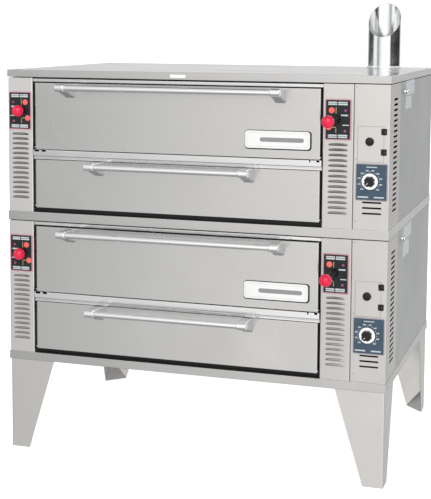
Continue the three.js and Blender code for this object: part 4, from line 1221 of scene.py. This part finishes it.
def chamber():
    """The liner: front mask with both openings, walls, ledges, header and the burner door's hinge lugs."""
    x, y, top = CHAMBER_X, (FRAME_Y[1] - 0.5, CHAMBER_BACK), CHAMBER_TOP + WALL
    openings = [rectangle(x, (4, SILL[0]), 3), rectangle(x, (HEARTH[0], CHAMBER_TOP), 6)]
    port = rectangle(DAMPER_PORT_Y, grown((DAMPER_HEIGHT, DAMPER_HEIGHT), DAMPER_PORT_HALF), 5)
    pipe_hole = circle((PIPE_Y, BURNER_HEIGHT), 20, 24)
    wall = rectangle((y[0], CHAMBER_BACK + WALL), (1, top))
    ledge_z = (HEARTH[0] - WALL - GAP, HEARTH[0] - GAP)
    ledge_x = (x[0] - 1, x[0] + 25)
    shapes = [
        # The front mask is black, a dark sheet that makes the gaps round the doors look shaded: painted
        # shade.
        painted(plate("front", rectangle(FRAME_X, (1, 578)), FRAME_Y, openings), 3),
        plate("side", wall, (x[0] - WALL, x[0]), [port]),
        plate("side", wall, (x[1], x[1] + WALL), [port, pipe_hole]),
        box(x, y, (CHAMBER_TOP, top)),
        box(x, y, (1, 1 + WALL)),
        box(x, (CHAMBER_BACK, CHAMBER_BACK + WALL), (1, top)),
        box(ledge_x, y, ledge_z),
        box(mirrored(ledge_x), y, ledge_z),
        box(x, (CHAMBER_BACK - 25, CHAMBER_BACK), ledge_z),
    ]
    rivet_z = CHAMBER_TOP - 14
    for across in range(170, 1350, 168):
        shapes.append(rivet("Y", (across, CHAMBER_BACK, rivet_z), -1, 4))
    for depth in range(90, 950, 170):
        shapes += [rivet("X", (x[0], depth, rivet_z), 1, 4), rivet("X", (x[1], depth, rivet_z), -1, 4)]
    low, high = HEADER_Z
    header = strip(softened([(40.5, high), (14, high, 2), (14, low, 2), (40.5, low)], closed=False), -1.5)
    shapes.append(painted(plate("side", header, FRAME_X, edge=0.2, segments=1), 1))
    z = BURNER_DOOR[0] + HINGE_RISE
    shapes += lugs(softened([(-2, z - 10), (41, z - 10), (41, z + 10), (8, z + 10), (-2, z + 4)], 3), z, 2)
    # The baffle under the burner door is a black strip in the gap where there is only shade: painted shade.
    baffle = plate("front", rectangle(FRAME_X, (1, BURNER_DOOR[0] - 3), 1), (27, 29), edge=0.4)
    return [*shapes, painted(baffle, 3)]


def hearth():
    """Two ceramic slabs side by side."""
    x = grown(CHAMBER_X, -0.6)
    middle = (x[0] + x[1]) / 2
    y = (FRAME_Y[0] + 4, CHAMBER_BACK - 1)
    return [box(span, y, HEARTH, 2.5, 3) for span in ((x[0], middle - 0.8), (middle + 0.8, x[1]))]


def burner():
    """Four ported tubes on a cross pipe, on two upright strips."""
    z = BURNER_HEIGHT
    shapes = [rod("X", (0, PIPE_Y, z), PIPE_RADIUS, (BURNER_X[0] - 60, CHAMBER_X[1] + 18), 2)]
    for x in BURNER_X:
        shapes.append(rod("Y", (x, 0, z), 19, (110, PIPE_Y), 5, 36))
        for radius, low, high, steps in ((24, 118, 136, 36), (25, 868, 890, 6)):
            profile = [(19, low), (radius, low + 2), (radius, high - 2), (19, high)]
            shapes.append(lathe(profile, "Y", (x, 0, z), steps, ring=True))
        for y in range(170, 850, 24):
            for port_x in (x - 7, x + 7):
                port = [(1.4, 0), (2.8, 0), (2.8, 1.2), (1.4, 1.2)]
                shapes.append(lathe(port, "Z", (port_x, y, z + 17.2), 10, ring=True))
    for y in (200, 760):
        upright = rectangle((280, 1220), (1 + WALL + GAP, z - 12), 2)
        shapes.append(plate("front", upright, (y - 1.5, y + 1.5)))
    return shapes


# ---------------------------------------------------------------- back and gas pipes
BACK_VENT_X, BACK_VENT_COUNT, BACK_VENT_PITCH, BACK_VENT_FIRST = (1180, 1500), 6, 24, 380
BACK_SEAM_X = 640
PIPE_INLET_HEIGHT = 610


def back_sheet(deck):
    """A coated sheet with round-ended vents, a lapped seam strip and screws round its edge."""
    x = grown((BODY_LEFT, BODY_RIGHT), -SHEET - GAP)
    face = BODY_BACK - GAP
    z = grown((0, DECK_HEIGHT), -GAP)
    lows = [BACK_VENT_FIRST + i * BACK_VENT_PITCH for i in range(BACK_VENT_COUNT)]
    holes = [rectangle(BACK_VENT_X, (low, low + 8), 3.9) for low in lows]
    if deck == "lower":
        holes.append(circle((PIPE_X, PIPE_INLET_HEIGHT - DECKS[deck]), PIPE_RADIUS + 6, 32))
    lap = rectangle(grown((BACK_SEAM_X, BACK_SEAM_X), 20), grown(z, -2), 2)
    shapes = [plate("front", rectangle(x, z), (face - SHEET, face), holes)]
    shapes.append(plate("front", lap, (face - 0.2, face + 1.2), edge=0.4))
    left, right = grown(x, -18)
    spots = [(left + (right - left) * i / 6, height, 0) for i in range(7) for height in grown(z, -16)]
    for i in range(4):
        for across, proud in ((left, 0), (BACK_SEAM_X - 12, 1.2), (BACK_SEAM_X + 12, 1.2), (right, 0)):
            spots.append((across, z[0] + 60 + i * 150, proud))
    for across, height, proud in spots:
        shapes += screw("front", (across, height), face + proud, 1, 4)
    return shapes


def fitting(axis, centre, middle):
    """A beaded socket round a pipe, where another joins it."""
    half, thick = 24, PIPE_RADIUS + 5
    steps = ((PIPE_RADIUS - 1, half), (thick + 2, half), (thick + 2, half - 7), (thick, half - 9))
    profile = [(radius, middle - reach) for radius, reach in steps]
    profile += [(radius, middle + reach) for radius, reach in reversed(steps)]
    return lathe(softened(profile, 1.2, 2), axis, centre, 32, ring=True)


def add_gas_pipes():
    """Riser with a branch to each burner, and the inlet through the back with its union nut."""
    levels = [bottom + BURNER_HEIGHT for bottom in DECKS.values()]
    end = span_of("gas_manifold", 1)[1]
    upright = (PIPE_X, PIPE_Y, 0)
    shapes = [rod("Z", upright, PIPE_RADIUS, grown(levels, 30), 2)]
    for level in levels:
        shapes.append(rod("X", (0, PIPE_Y, level), PIPE_RADIUS, (CHAMBER_X[1] + 19, PIPE_X), 0.5))
        shapes.append(fitting("Z", upright, level))
        shapes.append(fitting("X", (0, PIPE_Y, level), PIPE_X - 34))
    inlet = (PIPE_X, 0, PIPE_INLET_HEIGHT)
    shapes.append(rod("Y", inlet, PIPE_RADIUS, (PIPE_Y, end), 1.5))
    shapes.append(fitting("Z", upright, PIPE_INLET_HEIGHT))
    shapes.append(fitting("Y", inlet, PIPE_Y + 34))
    bore, wide = PIPE_RADIUS - 1, PIPE_RADIUS + 9
    nut = [(bore, BACK + 8), (wide, BACK + 10), (wide, end - 10), (bore, end - 8)]
    shapes.append(painted(lathe(nut, "Y", inlet, 6, ring=True), 1))
    piece("gas_pipes", shapes, "iron satin_cast", ["gas_manifold"])


# ---------------------------------------------------------------- a deck's pieces
DOORS = (("baking_door", BAKING_DOOR, 270, 540), ("burner_door", BURNER_DOOR, 399, 214))  # and their handles
DAMPERS = (("left", 59, DAMPER_X, 1), ("right", 1446, MIRROR_X - DAMPER_X, -1))


def add_deck(deck, bottom):
    def add(name, shapes, looks, node, body=None):
        body = f"{deck}_{body}" if body else OVEN
        nodes = [f"{deck}_{node}"] if node else []
        piece(f"{deck}_{name}", shapes, looks, nodes, body, bottom)

    add("left_column_sheet", left_column(), "left_steel pressed_steel", "left_column")
    add("right_column_sheet", right_column(), "front_steel pressed_steel", "right_column")
    add("left_side_sheet", left_side(), "side_steel screw bright", "left_side_panel")
    add("right_side_sheet", right_side(), "side_steel screw bright", "right_side_panel")
    for i, (y, z, radius) in enumerate(SIDE_LABELS[deck]):
        sticker = plate("side", rectangle(y, z, radius), (BODY_RIGHT - 0.1, BODY_RIGHT + 0.35), edge=0.1)
        add(f"side_blank_label_{i + 1}", [sticker], "label", None)
    add("control_sheet", control_cover(), "front_steel screw black", "control_cover")
    looks = "front_steel black"
    add("access_door_sheet", access_door(), looks, "access_door", "access_door_leaf")
    add("quarter_turn_latch", latch(), "black bright", "access_latch", "access_latch_knob")
    add("thermostat_face", thermostat_plate(), "blue dial_margin white pale", "thermostat_plate")
    shapes, looks = thermostat_knob(), "black white bright"
    add("thermostat_dial_knob", shapes, looks, "thermostat_knob", "thermostat_dial")
    for side, plate_x, rod_x, toward in DAMPERS:
        node = f"{side}_damper"
        shapes = damper_plate(plate_x, rod_x, toward)
        looks = "plate_dark plate_margin coral pale ochre magenta"
        add(f"{node}_printed_plate", shapes, looks, f"{node}_plate")
        ball_y = span_of(f"{deck}_{node}_knob", 1)[0] + BALL_RADIUS
        shapes = [ball((rod_x, ball_y, DAMPER_HEIGHT))]
        add(f"{node}_ball", shapes, "red", f"{node}_knob", f"{node}_pull")
        shapes = sleeve_and_blade(f"{deck}_{node}_rod", rod_x)
        looks = "black galvanised"
        add(f"{node}_sleeve_and_blade", shapes, looks, f"{node}_rod", f"{node}_pull")
    for node, height, handle_left, handle_z in DOORS:
        body = f"{node}_assembly"
        add(f"{node}_folded", door(height), "door_steel galvanised bright", node, body)
        shapes, looks = handle(handle_left, handle_z), "chrome satin_cast ferrule"
        add(f"{node}_bar_handle", shapes, looks, f"{node}_handle", body)
    add("bright_sill", sill(), "bright iron", "sill_rail")
    add("blank_badge", badge(), "badge black pale mark", "nameplate", "baking_door_assembly")
    add("liner", chamber(), "liner bright iron black", "oven_chamber")
    add("hearth_slabs", hearth(), "stone", "hearth_deck")
    add("ported_burner", burner(), "iron", "burner")
    add("back_sheet", back_sheet(deck), "galvanised screw", "back_panel")


# ---------------------------------------------------------------- studio
FLOOR_GLOW = 0.78
PAPER_GLOW = 1.05
AMBIENT = 0.36
DARKEST = 0.03
COOL, WARM = (0.92, 0.985, 1.0, 1), (1.0, 0.98, 0.965, 1)
# direction, how flat a glow lies along the horizon, cosines where it starts and is full, and its strength
GLOWS = (
    ((0.0, 0.0, 1.0), 1, -0.03, 0.20, 0.42),
    ((0.0, 0.55, 0.83), 1, 0.72, 0.93, -0.66),
    ((0.36, -0.93, 0.0), 1, 0.55, 0.90, 0.86),
    ((0.05, 1.0, 0.0), 1, 0.62, 0.98, 0.36),
    ((0.25, -0.85, 0.46), 1, 0.86, 0.97, 0.6),
    ((-0.36, -0.82, -0.45), 1, 0.94, 0.99, 0.22),
    ((0.975, 0.222, 0.0), 10, 0.60, 0.69, -1.3),
    ((-1.0, 0.1, 0.0), 7, 0.80, 0.92, -0.35),
    ((0.9, 0.2, -0.35), 1, 0.40, 0.95, 0.35),
)
# place, target, size, power and colour
LIGHTS = {
    "key": ((1.6, -3.6, 4.4), (0.1, 0, 0.9), (3.0, 1.6), 70, (1.0, 0.985, 0.96)),
    "fill": ((-4.2, -2.6, 2.6), (0, 0, 1.0), (3.2, 2.4), 20, (0.93, 0.97, 1.0)),
}
CAMERA_PLACE, CAMERA_LENS, CAMERA_SHIFT = (1.627, -5.295, 1.842), 89.34, -0.20
CAMERA_YAW, CAMERA_PITCH, CAMERA_ROLL = math.radians(17.637), math.radians(-5.64), math.radians(0.334)


def add_floor():
    shape = bmesh.new()
    bmesh.ops.create_grid(shape, x_segments=8, y_segments=8, size=60.0)
    mesh = bpy.data.meshes.new("studio_floor")
    shape.to_mesh(mesh)
    shape.free()
    mesh.materials.append(matte("pale_floor", (0.9, 0.9, 0.9), FLOOR_GLOW))
    floor = bpy.data.objects.new("studio_floor", mesh)
    floor.visible_glossy = False
    bpy.context.scene.collection.objects.link(floor)


def add_light(name, place, target, size, power, colour):
    lamp = bpy.data.lights.new(name, "AREA")
    lamp.shape = "RECTANGLE"
    lamp.size, lamp.size_y = size
    lamp.energy = power
    lamp.color = colour
    item = bpy.data.objects.new(name, lamp)
    item.location = place
    item.rotation_euler = (Vector(target) - Vector(place)).to_track_quat("-Z", "Y").to_euler()
    bpy.context.scene.collection.objects.link(item)


def add_world():
    """A white studio. What the metal sees of it is dim behind and below, and bright in front and above."""
    world = bpy.data.worlds.new("studio")
    bpy.context.scene.world = world
    world.use_nodes = True
    sky = Nodes(world.node_tree)
    direction = sky.node("TexCoord").outputs["Generated"]
    level = AMBIENT
    for toward, flatness, start, full, amount in GLOWS:
        squashed = sky.maths("MULTIPLY", direction, (1, 1, flatness), kind="VectorMath")
        unit = sky.maths("NORMALIZE", squashed, kind="VectorMath")
        middle = Vector(toward).normalized()
        cosine = sky.maths("DOT_PRODUCT", unit, middle, kind="VectorMath", output="Value")
        glow = sky.scaled(cosine, start, full, 0.0, amount, {"interpolation_type": "SMOOTHSTEP"})
        level = sky.maths("ADD", glow, level)
    level = sky.maths("MAXIMUM", level, DARKEST)
    ramp = sky.node("ValToRGB", Fac=level)
    ramp.color_ramp.elements[0].color = COOL
    ramp.color_ramp.elements[1].color = WARM
    studio = sky.tree.nodes["Background"]
    sky.feed(ramp.outputs[0], studio.inputs["Color"])
    sky.feed(level, studio.inputs["Strength"])
    paper = sky.node("Background", Color=(1, 1, 1, 1), Strength=PAPER_GLOW)
    both = sky.node("MixShader")
    seen = sky.node("LightPath").outputs["Is Camera Ray"]
    for value, socket in zip((seen, studio.outputs[0], paper.outputs[0]), both.inputs):
        sky.feed(value, socket)
    sky.feed(both.outputs[0], sky.tree.nodes["World Output"].inputs["Surface"])


def add_camera():
    """A little right of the middle and above the top, with a long lens kept nearly level."""
    camera = bpy.data.cameras.new("camera")
    camera.sensor_width = 36
    camera.lens = CAMERA_LENS
    camera.shift_y = CAMERA_SHIFT
    camera.clip_end = 300
    item = bpy.data.objects.new("camera", camera)
    aim = Matrix.Rotation(CAMERA_YAW, 4, "Z") @ Matrix.Rotation(math.pi / 2 + CAMERA_PITCH, 4, "X")
    item.matrix_world = Matrix.Translation(CAMERA_PLACE) @ aim @ Matrix.Rotation(CAMERA_ROLL, 4, "Z")
    bpy.context.scene.collection.objects.link(item)
    bpy.context.scene.camera = item


add_camera()
add_world()
add_floor()
for light, (place, target, size, power, colour) in LIGHTS.items():
    add_light(light, place, target, size, power, colour)
bpy.context.scene.view_settings.view_transform = "Standard"

add_stand()
add_cover_and_flue()
for deck, deck_bottom in DECKS.items():
    add_deck(deck, deck_bottom)
add_gas_pipes()
